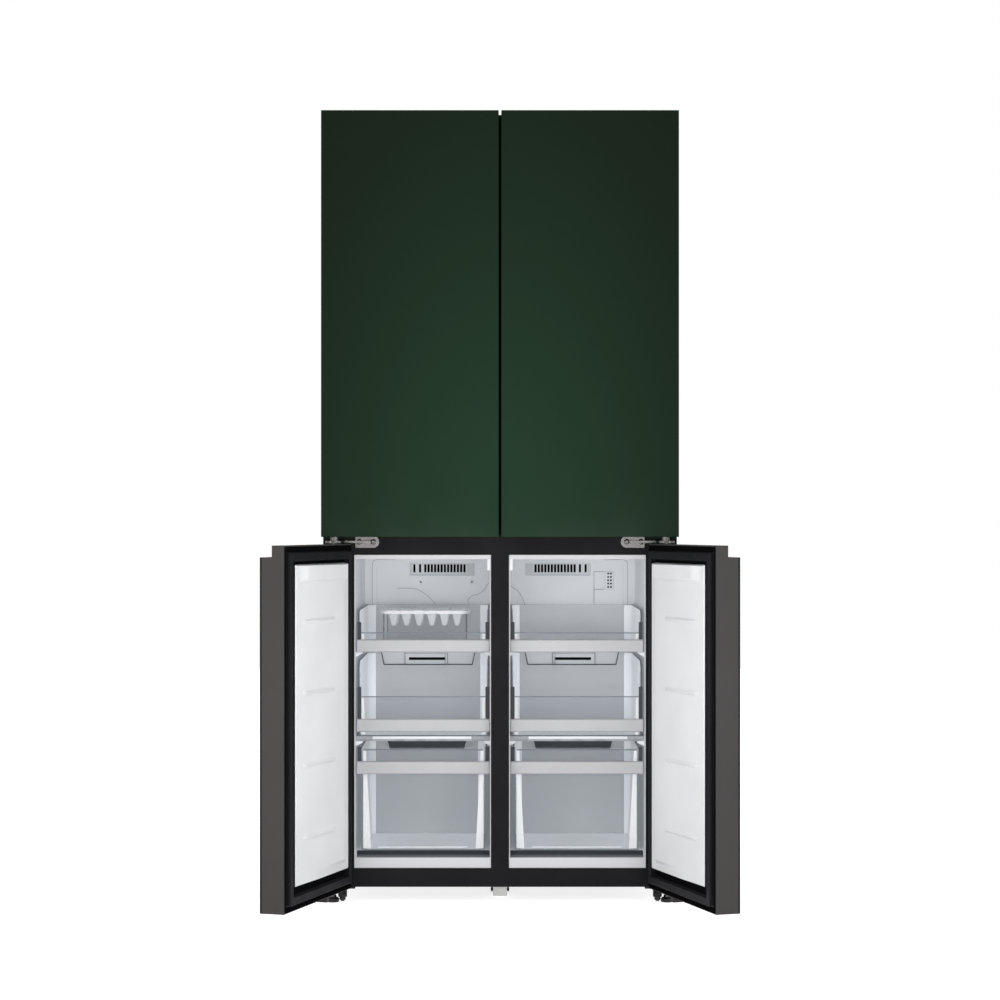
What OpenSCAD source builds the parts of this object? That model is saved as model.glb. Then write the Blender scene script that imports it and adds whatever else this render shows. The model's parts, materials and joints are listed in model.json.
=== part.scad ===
// Four-door refrigerator with a bottom freezer, glass-fronted doors and six freezer drawers.
// Millimetres. X runs across the front, Y from front to back, Z up from the floor.
// The two upper doors are shut and the two freezer doors stand open.

/* [Cabinet] */
// Overall width, the same as the two doors side by side
cabinet_w = 835; // [790:1:900]
// Height of the cabinet top above the floor
cabinet_h = 1860; // [1800:1:1900]
// Depth from the front frame to the back panel
cabinet_d = 629; // [615:1:680]
// Height of the underside of the base above the floor
base_z = 38; // [37:1:44]
// Thickness of the steel wrap, the base sheet and the back panel
sheet_t = 1; // [0.8:0.1:1.5]
// Thickness of the painted front frame
frame_t = 3; // [2:0.5:4]
// Thickness of the formed inner liners
liner_t = 2; // [1.5:0.5:3]

/* [Compartments] */
// Insulated side wall of the freezer
freezer_wall = 73.5; // [65:0.5:80]
// Insulated floor of the freezer
freezer_floor = 44.5; // [40:0.5:50]
// Height of the freezer opening
freezer_h = 739; // [735:1:760]
// Insulated crossbar between freezer and refrigerator
crossbar_h = 78.5; // [74:0.5:90]
// Insulated side wall of the refrigerator
fridge_wall = 47.5; // [42:0.5:52]
// Insulated top wall
top_wall = 55; // [50:1:65]
// Insulated back wall
back_wall = 69; // [60:1:75]
// Width of the partition between the two freezer compartments
partition_w = 42.6; // [38:0.2:50]
// Width of the centre post behind the two upper doors
post_w = 52; // [46:1:54]
// Depth of the centre post
post_d = 42; // [30:1:50]

/* [Machine room] */
// Height of the machine room ceiling above the floor
machine_z = 250; // [240:1:256]
// Depth of the machine room ceiling
machine_d = 119; // [110:1:125]
// How far the front wall of the machine room leans
machine_lean = 85; // [70:1:95]
// Insulation above the machine room
machine_roof = 44; // [36:1:50]
// Insulation in front of the machine room, measured level
machine_front = 73; // [66:1:80]

/* [Doors] */
// Thickness of a door without its seal
door_t = 58; // [52:1:64]
// Thickness of the glass panel on a door
panel_t = 5; // [4:0.5:6]
// Bevel round the edge of the glass
panel_bevel = 1.2; // [0.6:0.2:2]
// Gap between the left and right doors
door_gap = 6; // [4:0.5:8]
// Compressed thickness of the magnetic seal
seal_t = 12; // [10:0.5:14]
// Width of the seal
seal_w = 26; // [22:1:28]
// Distance from the seal to the door edge
seal_inset = 14; // [12:1:16]
// Bottom edge of the upper doors, below the refrigerator opening
upper_overlap = 35.5; // [30:0.5:38]
// Gap between upper and lower doors, where the middle hinge lies
hinge_gap = 16.5; // [14:0.5:18]
// Height of the front layer's step that leaves the grip of a freezer door free
grip_step = 26; // [20:1:32]
// Thickness of the front layer of a freezer door
front_layer = 30; // [26:1:34]
// Angle of the freezer doors as they stand
lower_open = 107.5; // [95:0.5:115]

/* [Hinges] */
// Distance from a hinge axis to the side of the cabinet
hinge_inset = 30.5; // [27:0.5:33]
// Distance from a hinge axis to the front of the door
hinge_setback = 27; // [24:0.5:30]
// Radius of the hinge pins
pin_r = 6; // [4:0.5:7]
// Running clearance round pins, shafts and axles
running_gap = 0.1; // [0.05:0.01:0.15]
// Thickness of the hinge plates
hinge_plate = 5; // [4:0.5:5.5]
// Length of a pin inside the door
pin_len = 22; // [16:1:26]

/* [Freezer drawers] */
// Gap between a drawer front rail and the walls
rail_gap = 4; // [3:0.5:6]
// Set-back of the drawer fronts from the front frame
drawer_setback = 45; // [42:1:50]
// Height of a white front rail
rail_h = 30.5; // [26:0.5:34]
// Depth of a white front rail
rail_d = 14; // [10:1:18]
// Wall of a freezer bin
bin_t = 2.4; // [1.8:0.2:3]
// Undersides of the bins, top, middle and bottom, above the freezer floor
bin_z = [507.5, 306.2, 34.5];
// Heights of the bins' side walls
bin_h = [100, 180, 244];
// Heights of the bins' front walls
bin_front_h = [46, 95, 242];
// Underside of each front rail above the bin's underside
rail_rise = [-1, 11, 182];
// Gaps between the backs of the bins and the evaporator cover or the step
bin_back = [13, 13, 21];
// Radii of the side walls' front corners
bin_corner = [20, 34, 34];
// Heights of the posts on the front rails
post_h = [41, 76, 34];

/* [Refrigerator inside] */
// Number of glass shelves
shelf_count = 4; // [3:1:4]
// Height of the lowest glass shelf above the refrigerator floor
first_shelf = 222; // [218:1:235]
// Free height above the top glass shelf
top_shelf_space = 175; // [150:1:200]
// Gap between the shelves and the back of the liner
shelf_back = 60; // [50:1:80]
// Depth of the doors' bins
door_bin_d = 92; // [70:1:94]
// Heights of the doors' bins, lowest first
door_bin_h = [110, 82, 82];
// Height of the lowest door bin above the refrigerator floor
first_door_bin = 70; // [60:1:90]
// Height of the refrigerator above the floor of the top door bin
top_door_bin_space = 285; // [260:1:310]
// Height of a crisper
crisper_h = 205; // [180:1:208]
// Set-back of the crispers
crisper_setback = 150; // [146:1:160]
// Gap between a crisper and the back of the liner
crisper_back = 40; // [30:1:60]

/* [Running gear] */
// Radius of a front wheel
front_wheel_r = 16; // [14:0.5:16]
// Radius of the centre roller
centre_roller_r = 17; // [15:0.5:17]
// Radius of a rear wheel
rear_wheel_r = 18; // [16:0.5:18]
// Radius of a levelling foot
foot_r = 15; // [12:0.5:16]
// Radius of a levelling foot's screw
foot_screw_r = 5; // [4:0.5:6]

/* [Hidden] */
$fn = 48;
LEFT = -1;
RIGHT = 1;
UPPER = 1;
LOWER = 0;
TOP = 0;
MIDDLE = 1;
BOTTOM = 2;

// Clearances
seat_gap = 0.3;
slide_gap = 2;
far = 2000;
eps = 1;

// Colours
steel_dark = [0.13, 0.13, 0.14];
steel_grey = [0.45, 0.45, 0.46];
zinc = [0.72, 0.72, 0.72];
white = [0.86, 0.87, 0.88];
pale = [0.76, 0.79, 0.81];
clear = [0.62, 0.68, 0.72, 0.5];
green_glass = [0.10, 0.17, 0.12];
door_brown = [0.33, 0.31, 0.31];
black = [0.07, 0.07, 0.08];
foam = [0.93, 0.88, 0.7];

// Cabinet, worked out from the driving sizes
half_w = cabinet_w / 2;
freezer_z0 = base_z + freezer_floor;
freezer_z1 = freezer_z0 + freezer_h;
fridge_z0 = freezer_z1 + crossbar_h;
fridge_z1 = cabinet_h - top_wall;
fridge_h = fridge_z1 - fridge_z0;
freezer_x1 = half_w - freezer_wall;
freezer_x0 = partition_w / 2;
bay_w = freezer_x1 - freezer_x0;
bay_x = (freezer_x0 + freezer_x1) / 2;
fridge_x = half_w - fridge_wall;
inside_back = cabinet_d - back_wall;
step_z = machine_z + machine_roof;
machine_y1 = cabinet_d - machine_d;
machine_y0 = machine_y1 - machine_lean;
step_y1 = inside_back - 105;
step_y0 = machine_y0 - machine_front + 18;
cover_y = inside_back - 98;
cover_t = 12;

// Doors
door_front = -seal_t - door_t;
door_back = -seal_t;
upper_z0 = fridge_z0 - upper_overlap;
lower_z1 = upper_z0 - hinge_gap;
lower_z0 = base_z + 1;
lower_front_z1 = lower_z1 - grip_step;
hinge_x = half_w - hinge_inset;
hinge_y = door_front + hinge_setback;
casing_front = door_front + panel_t;
door_reach = hinge_x - door_gap / 2;
door_tip = hinge_y - door_reach * sin(lower_open) + (door_back - hinge_y) * cos(lower_open);
// The frame's origin lies under the middle of the whole, with the freezer doors open
front_y = -(door_tip + cabinet_d) / 2;
recess_d = 110;
recess_w = 90;
recess_h = 22;
notch_h = recess_h + 2;

// Drawers
rail_x0 = freezer_x0 + rail_gap;
rail_w = bay_w - 2 * rail_gap;
ledge_w = 16;
ledge_h = 12;
lip_side = 2;
lip_top = 10;
lip_floor = 24;
shelf_t = 12;
shelf_ledge_w = 10;
shelf_ledge_h = 9;
bin_w = [rail_w - 4, rail_w - 4, rail_w - 14];
bin_taper = [0, 0, 3];
bin_y = drawer_setback + rail_d;
bin_d = [
    cover_y - bin_y - bin_back[TOP],
    cover_y - bin_y - bin_back[MIDDLE],
    step_y0 - bin_y - bin_back[BOTTOM]
];
rail_post_w = 8;
rail_post_d = 6;
notch_w = [0, 236, 196];
notch_drop = [0, 31, 27];

// Refrigerator inside
door_bin_y = door_back + 4.5;
shelf_y = door_bin_y + door_bin_d + 27.5;
shelf_d = inside_back - shelf_y - shelf_back;
shelf_pitch = (fridge_h - top_shelf_space - first_shelf) / (shelf_count - 1);
shelf_z = [for (i = [0:shelf_count - 1]) first_shelf + i * shelf_pitch];
door_bin_pitch = (fridge_h - top_door_bin_space - first_door_bin) / 2;
door_bin_z = [for (i = [0:2]) first_door_bin + i * door_bin_pitch];
crisper_d = inside_back - crisper_setback - crisper_back;

module block(x0, x1, y0, y1, z0, z1) {
    translate([x0, y0, z0]) cube([x1 - x0, y1 - y0, z1 - z0]);
}

// A flat outline in Y and Z carried along X
module along_x(x0, x1) {
    translate([x0, 0, 0]) rotate([90, 0, 90]) linear_extrude(x1 - x0) children();
}

// A flat outline in X and Z carried along Y
module along_y(y0, y1) {
    translate([0, y1, 0]) rotate([90, 0, 0]) linear_extrude(y1 - y0) children();
}

module placed() {
    translate([0, front_y, 0]) children();
}

module pair() {
    children();
    mirror([1, 0, 0]) children();
}

// Everything is drawn on the left and mirrored for the right
module on_side(side) {
    if (side == LEFT) children();
    else mirror([1, 0, 0]) children();
}

module rounded_rect(w, d, r) {
    translate([r, 0]) square([w - 2 * r, d]);
    translate([0, r]) square([w, d - 2 * r]);
    for (x = [r, w - r], y = [r, d - r]) translate([x, y]) circle(r);
}

// A plate of w by h in X and Z, bevelled round its front edges, its back at y1
module bevelled_plate(x0, x1, y0, y1, z0, z1, bevel) {
    intersection() {
        linear_extrude(far) polygon([
            [x0 + bevel, y0], [x1 - bevel, y0], [x1, y0 + bevel], [x1, y1], [x0, y1], [x0, y0 + bevel]
        ]);
        along_x(x0, x1) polygon([
            [y0 + bevel, z0], [y1, z0], [y1, z1], [y0 + bevel, z1], [y0, z1 - bevel], [y0, z0 + bevel]
        ]);
    }
}

// A block whose four sides lean in by draft towards its far face at y1
module drafted_block(x0, x1, y0, y1, z0, z1, draft) {
    intersection() {
        linear_extrude(far) polygon([[x0, y0], [x1, y0], [x1 - draft, y1], [x0 + draft, y1]]);
        along_x(x0, x1) polygon([[y0, z0], [y0, z1], [y1, z1 - draft], [y1, z0 + draft]]);
    }
}

// A flat frame in X and Z between an outer and an inner rectangle
module ring(x0, x1, y0, y1, z0, z1, w) {
    difference() {
        block(x0, x1, y0, y1, z0, z1);
        block(x0 + w, x1 - w, y0 - eps, y1 + eps, z0 + w, z1 - w);
    }
}

// The freezer's side outline: flat floor, a slope over the machine room, then the back wall
function freezer_outline(t) = [
    [frame_t, freezer_z0 - t],
    [step_y0 + slope_mitre(t), freezer_z0 - t],
    [step_y1 + slope_mitre(t), step_z - t],
    [inside_back + t, step_z - t],
    [inside_back + t, freezer_z1 + t],
    [frame_t, freezer_z1 + t]
];

// Level shift of the slope's corners when the outline grows by t
slope_len = norm([step_y1 - step_y0, step_z - freezer_z0]);
slope_rise = (step_z - freezer_z0) / slope_len;
slope_run = (step_y1 - step_y0) / slope_len;
function slope_mitre(t) = t * slope_rise / (1 + slope_run);

// Cabinet

module hinge_recess(extra = 0) {
    block(-half_w - eps, -half_w + recess_w + extra, frame_t - eps - extra,
          recess_d + extra, cabinet_h - recess_h - extra, cabinet_h + eps);
}

module cabinet_shell() {
    color(steel_grey) placed() {
        difference() {
            block(-half_w, half_w, frame_t, cabinet_d, base_z, cabinet_h);
            block(-half_w + sheet_t, half_w - sheet_t, frame_t - eps, cabinet_d + eps,
                  base_z - eps, cabinet_h - sheet_t);
            pair() hinge_recess();
        }
        pair() difference() {
            block(-half_w, -half_w + recess_w + sheet_t, frame_t, recess_d + sheet_t,
                  cabinet_h - recess_h - sheet_t, cabinet_h - sheet_t);
            hinge_recess();
        }
    }
}

module back_panel() {
    color(steel_grey) placed() difference() {
        block(-half_w + sheet_t, half_w - sheet_t, cabinet_d - sheet_t, cabinet_d,
              machine_z + sheet_t, cabinet_h - sheet_t);
        // Screw holes along the lower edge
        for (x = [-360, -120, 120, 360])
            translate([x, cabinet_d, machine_z + 14]) rotate([90, 0, 0])
                cylinder(r = 2.2, h = 10, center = true, $fn = 24);
    }
}

module front_frame() {
    color(black) placed() {
        difference() {
            block(-half_w, half_w, 0, frame_t, base_z, cabinet_h);
            pair() block(-fridge_x, -post_w / 2, -eps, frame_t + eps, fridge_z0, fridge_z1);
            pair() block(-freezer_x1, -freezer_x0, -eps, frame_t + eps, freezer_z0, freezer_z1);
            pair() block(-half_w - eps, -half_w + recess_w, -eps, frame_t + eps,
                         cabinet_h - recess_h, cabinet_h + eps);
        }
        centre_post();
    }
}

// The slim heated post that both upper seals close on
module centre_post() {
    corner = 8;
    translate([0, 0, fridge_z0]) linear_extrude(fridge_h) polygon([
        [-post_w / 2, frame_t], [post_w / 2, frame_t], [post_w / 2, post_d - corner],
        [post_w / 2 - corner, post_d], [-post_w / 2 + corner, post_d], [-post_w / 2, post_d - corner]
    ]);
}

module machine_room(t = 0) {
    polygon([
        [machine_y0 - t, base_z - eps], [machine_y0 - t, base_z + t], [machine_y1 - t, machine_z + t],
        [cabinet_d + eps, machine_z + t], [cabinet_d + eps, base_z - eps]
    ]);
}

module insulation() {
    color(foam) placed() difference() {
        block(-half_w + sheet_t, half_w - sheet_t, frame_t, cabinet_d - sheet_t,
              base_z + sheet_t, cabinet_h - sheet_t);
        block(-fridge_x - liner_t, fridge_x + liner_t, frame_t - eps, inside_back + liner_t,
              fridge_z0 - liner_t, fridge_z1 + liner_t);
        along_x(-freezer_x1 - liner_t, freezer_x1 + liner_t) polygon(freezer_cut());
        along_x(-half_w, half_w) machine_room(sheet_t);
        pair() hinge_recess(sheet_t);
    }
}

function freezer_cut() = let (line = freezer_outline(liner_t))
    concat([[frame_t - eps, line[0][1]]], [for (i = [1:4]) line[i]], [[frame_t - eps, line[5][1]]]);

// Ledges that carry drawers or shelves, on the wall side of a bay
module bay_ledge(x0, w, y0, y1, z, h) {
    block(x0, x0 + w, y0, y1, z - h, z);
}

module fridge_liner() {
    color(white) placed() {
        difference() {
            block(-fridge_x - liner_t, fridge_x + liner_t, frame_t, inside_back + liner_t,
                  fridge_z0 - liner_t, fridge_z1 + liner_t);
            block(-fridge_x, fridge_x, frame_t - eps, inside_back, fridge_z0, fridge_z1);
        }
        pair() for (z = shelf_z)
            bay_ledge(-fridge_x - eps, shelf_ledge_w + eps, shelf_y, shelf_y + shelf_d,
                      fridge_z0 + z - shelf_t - seat_gap, shelf_ledge_h);
    }
}

// Heights of the ledges' tops in a freezer bay: under the top drawer, the shelf and the bottom drawer
top_ledge_z = freezer_z0 + bin_z[TOP] - seat_gap;
mid_shelf_z = freezer_z0 + bin_z[MIDDLE] - seat_gap;
shelf_ledge_z = mid_shelf_z - shelf_t;
runner_z = freezer_z0 + bin_z[BOTTOM] - seat_gap;
runner_w = 30;
drawer_back = bin_y + bin_d[TOP];
low_back = bin_y + bin_d[BOTTOM];

module bay_ledges(x, toward) {
    for (z = [top_ledge_z, shelf_ledge_z])
        along_y(bin_y + 4, drawer_back) ledge_outline(x, toward, z, ledge_w, ledge_h);
    along_y(bin_y + 4, low_back) ledge_outline(x, toward, runner_z, runner_w, bin_z[BOTTOM] - seat_gap);
}

// A ledge's end view: square on top, sloped underneath where it meets the wall
module ledge_outline(x, toward, z, w, h) {
    polygon([[x, z], [x + toward * w, z], [x + toward * w, z - 4], [x, z - h]]);
}

module freezer_liner() {
    color(white) placed() {
        difference() {
            along_x(-freezer_x1 - liner_t, freezer_x1 + liner_t) polygon(freezer_outline(liner_t));
            along_x(-freezer_x1, freezer_x1) polygon(concat(
                [[frame_t - eps, freezer_z0]],
                [for (i = [1:4]) freezer_outline(0)[i]],
                [[frame_t - eps, freezer_z1]]));
        }
        // The bright lip round each opening
        pair() difference() {
            block(-freezer_x1 - eps, -freezer_x0, frame_t, frame_t + 4, freezer_z0 - eps, freezer_z1 + eps);
            block(-freezer_x1 + lip_side, -freezer_x0 + eps, frame_t - eps, frame_t + 5,
                  freezer_z0 + lip_floor, freezer_z1 - lip_top);
        }
        pair() bay_ledges(-freezer_x1, 1);
    }
}

module freezer_partition() {
    color(white) placed() {
        intersection() {
            block(-freezer_x0, freezer_x0, frame_t, cover_y, 0, cabinet_h);
            along_x(-freezer_x0, freezer_x0) polygon(freezer_outline(0));
        }
        pair() bay_ledges(-freezer_x0, -1);
        pair() block(-freezer_x0 - lip_side, -freezer_x0, frame_t, frame_t + 4,
                     freezer_z0 + lip_floor, freezer_z1 - lip_top);
    }
}

// Base, machine room and running gear

front_wheel_x = hinge_x - 14;
front_wheel_y = 24;
front_wheel_w = 14;
centre_roller_y = 107;
centre_roller_w = 33;
roller_ear_t = 4;
roller_plate_w = 104;
roller_plate_d = 48;
roller_plate_t = 2;
rear_wheel_x = half_w - 48;
rear_wheel_y = cabinet_d - 40;
rear_wheel_w = 24;
axle_r = 3;
foot_x = hinge_x + 9;
foot_y = 20;
front_lift = 1;

// Two ears and an axle below the base, for a wheel of width w
module wheel_bracket(x, y, r, w, lift, ear_t = 2.5, gap = 0.8) {
    for (s = [-1, 1]) translate([x + s * (w / 2 + gap + ear_t / 2), y, 0])
        rotate([90, 0, 90]) linear_extrude(ear_t, center = true) {
            translate([0, lift + r]) circle(6);
            translate([-6, lift + r]) square([12, base_z - lift - r]);
        }
    translate([x, y, lift + r]) rotate([0, 90, 0])
        cylinder(r = axle_r, h = w + 2 * gap + 2 * ear_t, center = true);
}

module wheel(x, y, r, w, lift, crown = 1.5) {
    translate([x, y, lift + r]) rotate([0, 90, 0]) difference() {
        rotate_extrude() polygon([
            [0, -w / 2], [r - crown, -w / 2], [r, -w / 2 + crown],
            [r, w / 2 - crown], [r - crown, w / 2], [0, w / 2]
        ]);
        cylinder(r = axle_r + running_gap, h = w + 2, center = true);
    }
}

module base_plate() {
    color(steel_dark) placed() {
        // Folded sheet under the freezer and over the machine room
        along_x(-half_w + sheet_t, half_w - sheet_t) polygon([
            [frame_t, base_z], [machine_y0, base_z], [machine_y1, machine_z],
            [cabinet_d - sheet_t, machine_z], [cabinet_d - sheet_t, machine_z + sheet_t],
            [machine_y1 - sheet_t, machine_z + sheet_t], [machine_y0 - sheet_t, base_z + sheet_t],
            [frame_t, base_z + sheet_t]
        ]);
        // Floor of the machine room, with a pressed drip tray
        difference() {
            union() {
                block(-half_w + sheet_t, half_w - sheet_t, machine_y0, cabinet_d - sheet_t,
                      base_z, base_z + machine_floor_t);
                drip_tray(0);
            }
            drip_tray(machine_floor_t);
        }
        pair() wheel_bracket(-front_wheel_x, front_wheel_y, front_wheel_r, front_wheel_w, front_lift);
        pair() wheel_bracket(-rear_wheel_x, rear_wheel_y, rear_wheel_r, rear_wheel_w, 0);
        wheel_bracket(0, centre_roller_y, centre_roller_r, centre_roller_w, 0, roller_ear_t);
        block(-roller_plate_w / 2, roller_plate_w / 2, centre_roller_y - roller_plate_d / 2,
              centre_roller_y + roller_plate_d / 2, base_z - roller_plate_t, base_z);
    }
}

machine_floor_t = 1.5;
tray_x0 = 60;
tray_x1 = half_w - 95.5;
tray_y0 = machine_y1 - 30;
tray_y1 = cabinet_d - 20;
tray_h = 14;

module drip_tray(inset) {
    block(tray_x0 + inset, tray_x1 - inset, tray_y0 + inset, tray_y1 - inset,
          base_z + inset, base_z + tray_h + (inset > 0 ? eps : 0));
}

// Gland of the mains cord, in a corner of the machine room cover
gland_x = half_w - 52;
gland_z = base_z + 150;
gland_r = 11;
gland_nut_r = 14;
gland_nut_t = 5;
gland_len = 16;
cord_r = 4.5;
vent_slot_w = 46;
vent_slot_h = 5;
vent_pitch_z = 14;
vent_z = 30;

module machine_room_cover() {
    vent_columns = [-330, -270, -210, -150, -30, 30, 90, 150, 210, 270];
    color(steel_grey) placed() difference() {
        union() {
            block(-half_w + sheet_t, half_w - sheet_t, cabinet_d - sheet_t, cabinet_d,
                  base_z + 2, machine_z + sheet_t - seat_gap);
            translate([gland_x, cabinet_d, gland_z]) rotate([90, 0, 0]) {
                cylinder(r = gland_r, h = gland_len);
                translate([0, 0, sheet_t]) cylinder(r = gland_nut_r, h = gland_nut_t, $fn = 6);
            }
        }
        translate([gland_x, cabinet_d + eps, gland_z]) rotate([90, 0, 0])
            cylinder(r = cord_r, h = gland_len + 2 * eps);
        for (x = vent_columns, i = [0:10])
            block(x, x + vent_slot_w, cabinet_d - 2 * sheet_t, cabinet_d + eps,
                  base_z + vent_z + i * vent_pitch_z, base_z + vent_z + i * vent_pitch_z + vent_slot_h);
    }
}

compressor_side = 167.5;
compressor_back = 82;
compressor_x = -half_w + compressor_side;
compressor_y = cabinet_d - compressor_back;
compressor_r = 66;
compressor_foot_h = 16;
compressor_z = base_z + machine_floor_t + compressor_foot_h;

module compressor() {
    drum_z = 26;
    drum_h = 66;
    rail_x = 42;
    rail_half = 12;
    rail_front = 76;
    rail_rear = 72;
    rail_z = 4;
    rail_t = 3;
    foot_in = 12;
    relay_half = 24;
    relay_reach = 20;
    stub_z = drum_z + 40;
    stub_len = 70;
    color(black) placed() translate([compressor_x, compressor_y, compressor_z]) {
        // Welded shell: a short drum between two shallow domes, with the weld bead round it
        rotate_extrude() {
            translate([0, drum_z]) square([compressor_r, drum_h]);
            translate([0, drum_z]) mirror([0, 1]) dome_outline(compressor_r, 22);
            translate([0, drum_z + drum_h]) dome_outline(compressor_r, 30);
            translate([0, drum_z + 30]) square([compressor_r + 2, 4]);
        }
        // Mounting rails, saddles under the shell and rubber-mounted feet
        pair() {
            block(rail_x - rail_half, rail_x + rail_half, -rail_front, rail_rear, rail_z, rail_z + rail_t);
            block(rail_x - 9, rail_x + 9, -relay_half, relay_half, rail_z + rail_t - eps, 18);
            for (y = [-rail_front + foot_in, rail_rear - foot_in])
                translate([rail_x, y, -compressor_foot_h])
                    cylinder(r = 9, h = compressor_foot_h + rail_z + 2);
        }
        // Start relay box and pipe stubs
        block(compressor_r - 10, compressor_r + relay_reach, -relay_half, relay_half,
              drum_z + 6, drum_z + drum_h - 8);
        for (stub = [[-52, 18, 5], [-40, 40, 4]])
            translate([stub[0], stub[1], stub_z]) rotate([0, -35, 0]) cylinder(r = stub[2], h = stub_len);
    }
}

// Half the outline of a shallow spherical cap of radius r and height h, on the axis
module dome_outline(r, h) {
    ball = (r * r + h * h) / (2 * h);
    intersection() {
        translate([0, h - ball]) circle(ball, $fn = 96);
        square([r, h]);
    }
}

// A serpentine of tubes along X, n passes stacked in Z, with a fin every pitch
module fin_coil(x0, x1, y, z0, n, rise, depth, tube_r, pitch, fin_t) {
    for (i = [0:n - 1]) {
        translate([x0, y, z0 + i * rise]) rotate([0, 90, 0]) cylinder(r = tube_r, h = x1 - x0, $fn = 24);
        if (i < n - 1) translate([i % 2 == 0 ? x1 : x0, y, z0 + (i + 0.5) * rise])
            rotate([90, 0, i % 2 == 0 ? 0 : 180]) rotate([0, 0, -90])
                rotate_extrude(angle = 180, $fn = 32) translate([rise / 2, 0]) circle(tube_r, $fn = 24);
    }
    for (x = [x0 + pitch:pitch:x1 - pitch / 2])
        block(x, x + fin_t, y - depth / 2, y + depth / 2, z0 - rise / 2, z0 + (n - 0.5) * rise);
}

condenser_x0 = tray_x0 + 36;
condenser_x1 = tray_x1 - 36;
condenser_back = 72;
condenser_y = cabinet_d - condenser_back;
condenser_z = base_z + 44;
condenser_rows = 5;
condenser_rise = 26;
condenser_depth = 70;
condenser_plate_half = 45;
condenser_h = 118;
tube_r = 4;
fin_t = 1.2;
fin_pitch = 11;
fan_x = -40;
fan_y = condenser_y;
fan_lift = 86;
fan_z = base_z + fan_lift;
fan_r = 54;
fan_d = 20;
fan_motor_r = 20;
fan_motor_len = 30;
shroud_half = 66;
shroud_t = 18;

module condenser() {
    arm_x = fan_x + fan_d / 2 + 2;
    arm_t = 5;
    arm_half = 8;
    arm_w = 7;
    plate_t = 1.5;
    plate_in = 3;
    bar_t = 4;
    bar_h = 16;
    bar_z = fan_z + shroud_half - 10 - bar_h;
    floor_z = base_z + machine_floor_t;
    color(steel_dark) placed() {
        fin_coil(condenser_x0, condenser_x1, condenser_y, condenser_z, condenser_rows, condenser_rise,
                 condenser_depth, tube_r, fin_pitch, fin_t);
        // Fan shroud standing on the machine room floor, with the arm that holds motor and shaft
        difference() {
            block(fan_x - shroud_t / 2, fan_x + shroud_t / 2, fan_y - shroud_half, fan_y + shroud_half,
                  floor_z, fan_z + shroud_half);
            translate([fan_x, fan_y, fan_z]) rotate([0, 90, 0])
                cylinder(r = fan_r + 4, h = 2 * shroud_t, center = true);
        }
        block(arm_x, arm_x + arm_t, fan_y - shroud_half, fan_y + shroud_half,
              fan_z - arm_half, fan_z + arm_half);
        for (y = [fan_y - shroud_half, fan_y + shroud_half - arm_w])
            block(fan_x + shroud_t / 2 - eps, arm_x + arm_t, y, y + arm_w,
                  fan_z - arm_half, fan_z + arm_half);
        translate([arm_x, fan_y, fan_z]) rotate([0, 90, 0]) cylinder(r = fan_motor_r, h = fan_motor_len);
        translate([fan_x - fan_d / 2 - 3, fan_y, fan_z]) rotate([0, 90, 0])
            cylinder(r = axle_r, h = fan_d + 8);
        // End plates stand in the drip tray with the coil, and two bars tie them to the shroud
        for (x = [condenser_x0 + plate_in, condenser_x1 - plate_in - plate_t])
            block(x, x + plate_t, condenser_y - condenser_plate_half, condenser_y + condenser_plate_half,
                  floor_z, condenser_z + condenser_h);
        for (y = [fan_y - condenser_plate_half, fan_y + condenser_plate_half - bar_t])
            block(fan_x + shroud_t / 2 - eps, condenser_x0 + plate_in + eps, y, y + bar_t,
                  bar_z, bar_z + bar_h);
    }
}

// An axial fan about Z: hub, slanted flat blades and a through bore
module fan(r, hub_r, depth, blades) {
    blade_w = 0.68 * r;
    blade_t = 2;
    blade_root = 3;
    blade_slant = 32;
    difference() {
        union() {
            cylinder(r = hub_r, h = depth, center = true);
            intersection() {
                cylinder(r = r, h = depth, center = true);
                for (i = [0:blades - 1]) rotate([0, 0, i * 360 / blades])
                    rotate([blade_slant, 0, 0])
                        translate([hub_r - blade_root, -blade_w / 2, -blade_t / 2])
                            cube([r, blade_w, blade_t]);
            }
        }
        cylinder(r = axle_r + running_gap, h = depth + 2, center = true);
    }
}

module condenser_fan() {
    color(black) placed() translate([fan_x, fan_y, fan_z]) rotate([0, 90, 0])
        fan(fan_r, fan_motor_r - 2, fan_d, 7);
}

// Freezer's cold side

evap_fan_z = freezer_z1 - 122;
evap_fan_y = inside_back - 48;
evap_fan_r = 58;
evap_fan_d = 24;
evap_hub_r = 17;
evap_half = 250;
evap_rows = 7;
evap_rise = 36;
evap_depth = 56;
evap_y = inside_back - 45;
evap_z = step_z + 42;
evap_fin_t = 0.8;
evap_fin_pitch = 20;
hanger_x = evap_half + 6;
hanger_t = 6;
trough_h = 4;
trough_gap = 6;
trough_d = 74;

module evaporator() {
    trough_y = inside_back - trough_gap - trough_d;
    color(zinc) placed() {
        fin_coil(-evap_half, evap_half, evap_y, evap_z, evap_rows, evap_rise, evap_depth, tube_r,
                 evap_fin_pitch, evap_fin_t);
        // Hangers that hold the coil on the back wall, and its drip trough
        pair() block(hanger_x, hanger_x + hanger_t, evap_y - 30, inside_back,
                     evap_z - 12, evap_z + (evap_rows - 1) * evap_rise + 12);
        block(-hanger_x - hanger_t, hanger_x + hanger_t, trough_y, trough_y + trough_d,
              step_z, step_z + trough_h);
        pair() block(hanger_x, hanger_x + hanger_t, trough_y, trough_y + trough_d,
                     step_z, evap_z - 12 + eps);
    }
}

module evaporator_fan() {
    color(white) placed() translate([0, evap_fan_y, evap_fan_z]) rotate([90, 0, 0])
        fan(evap_fan_r, evap_hub_r, evap_fan_d, 5);
}

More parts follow.
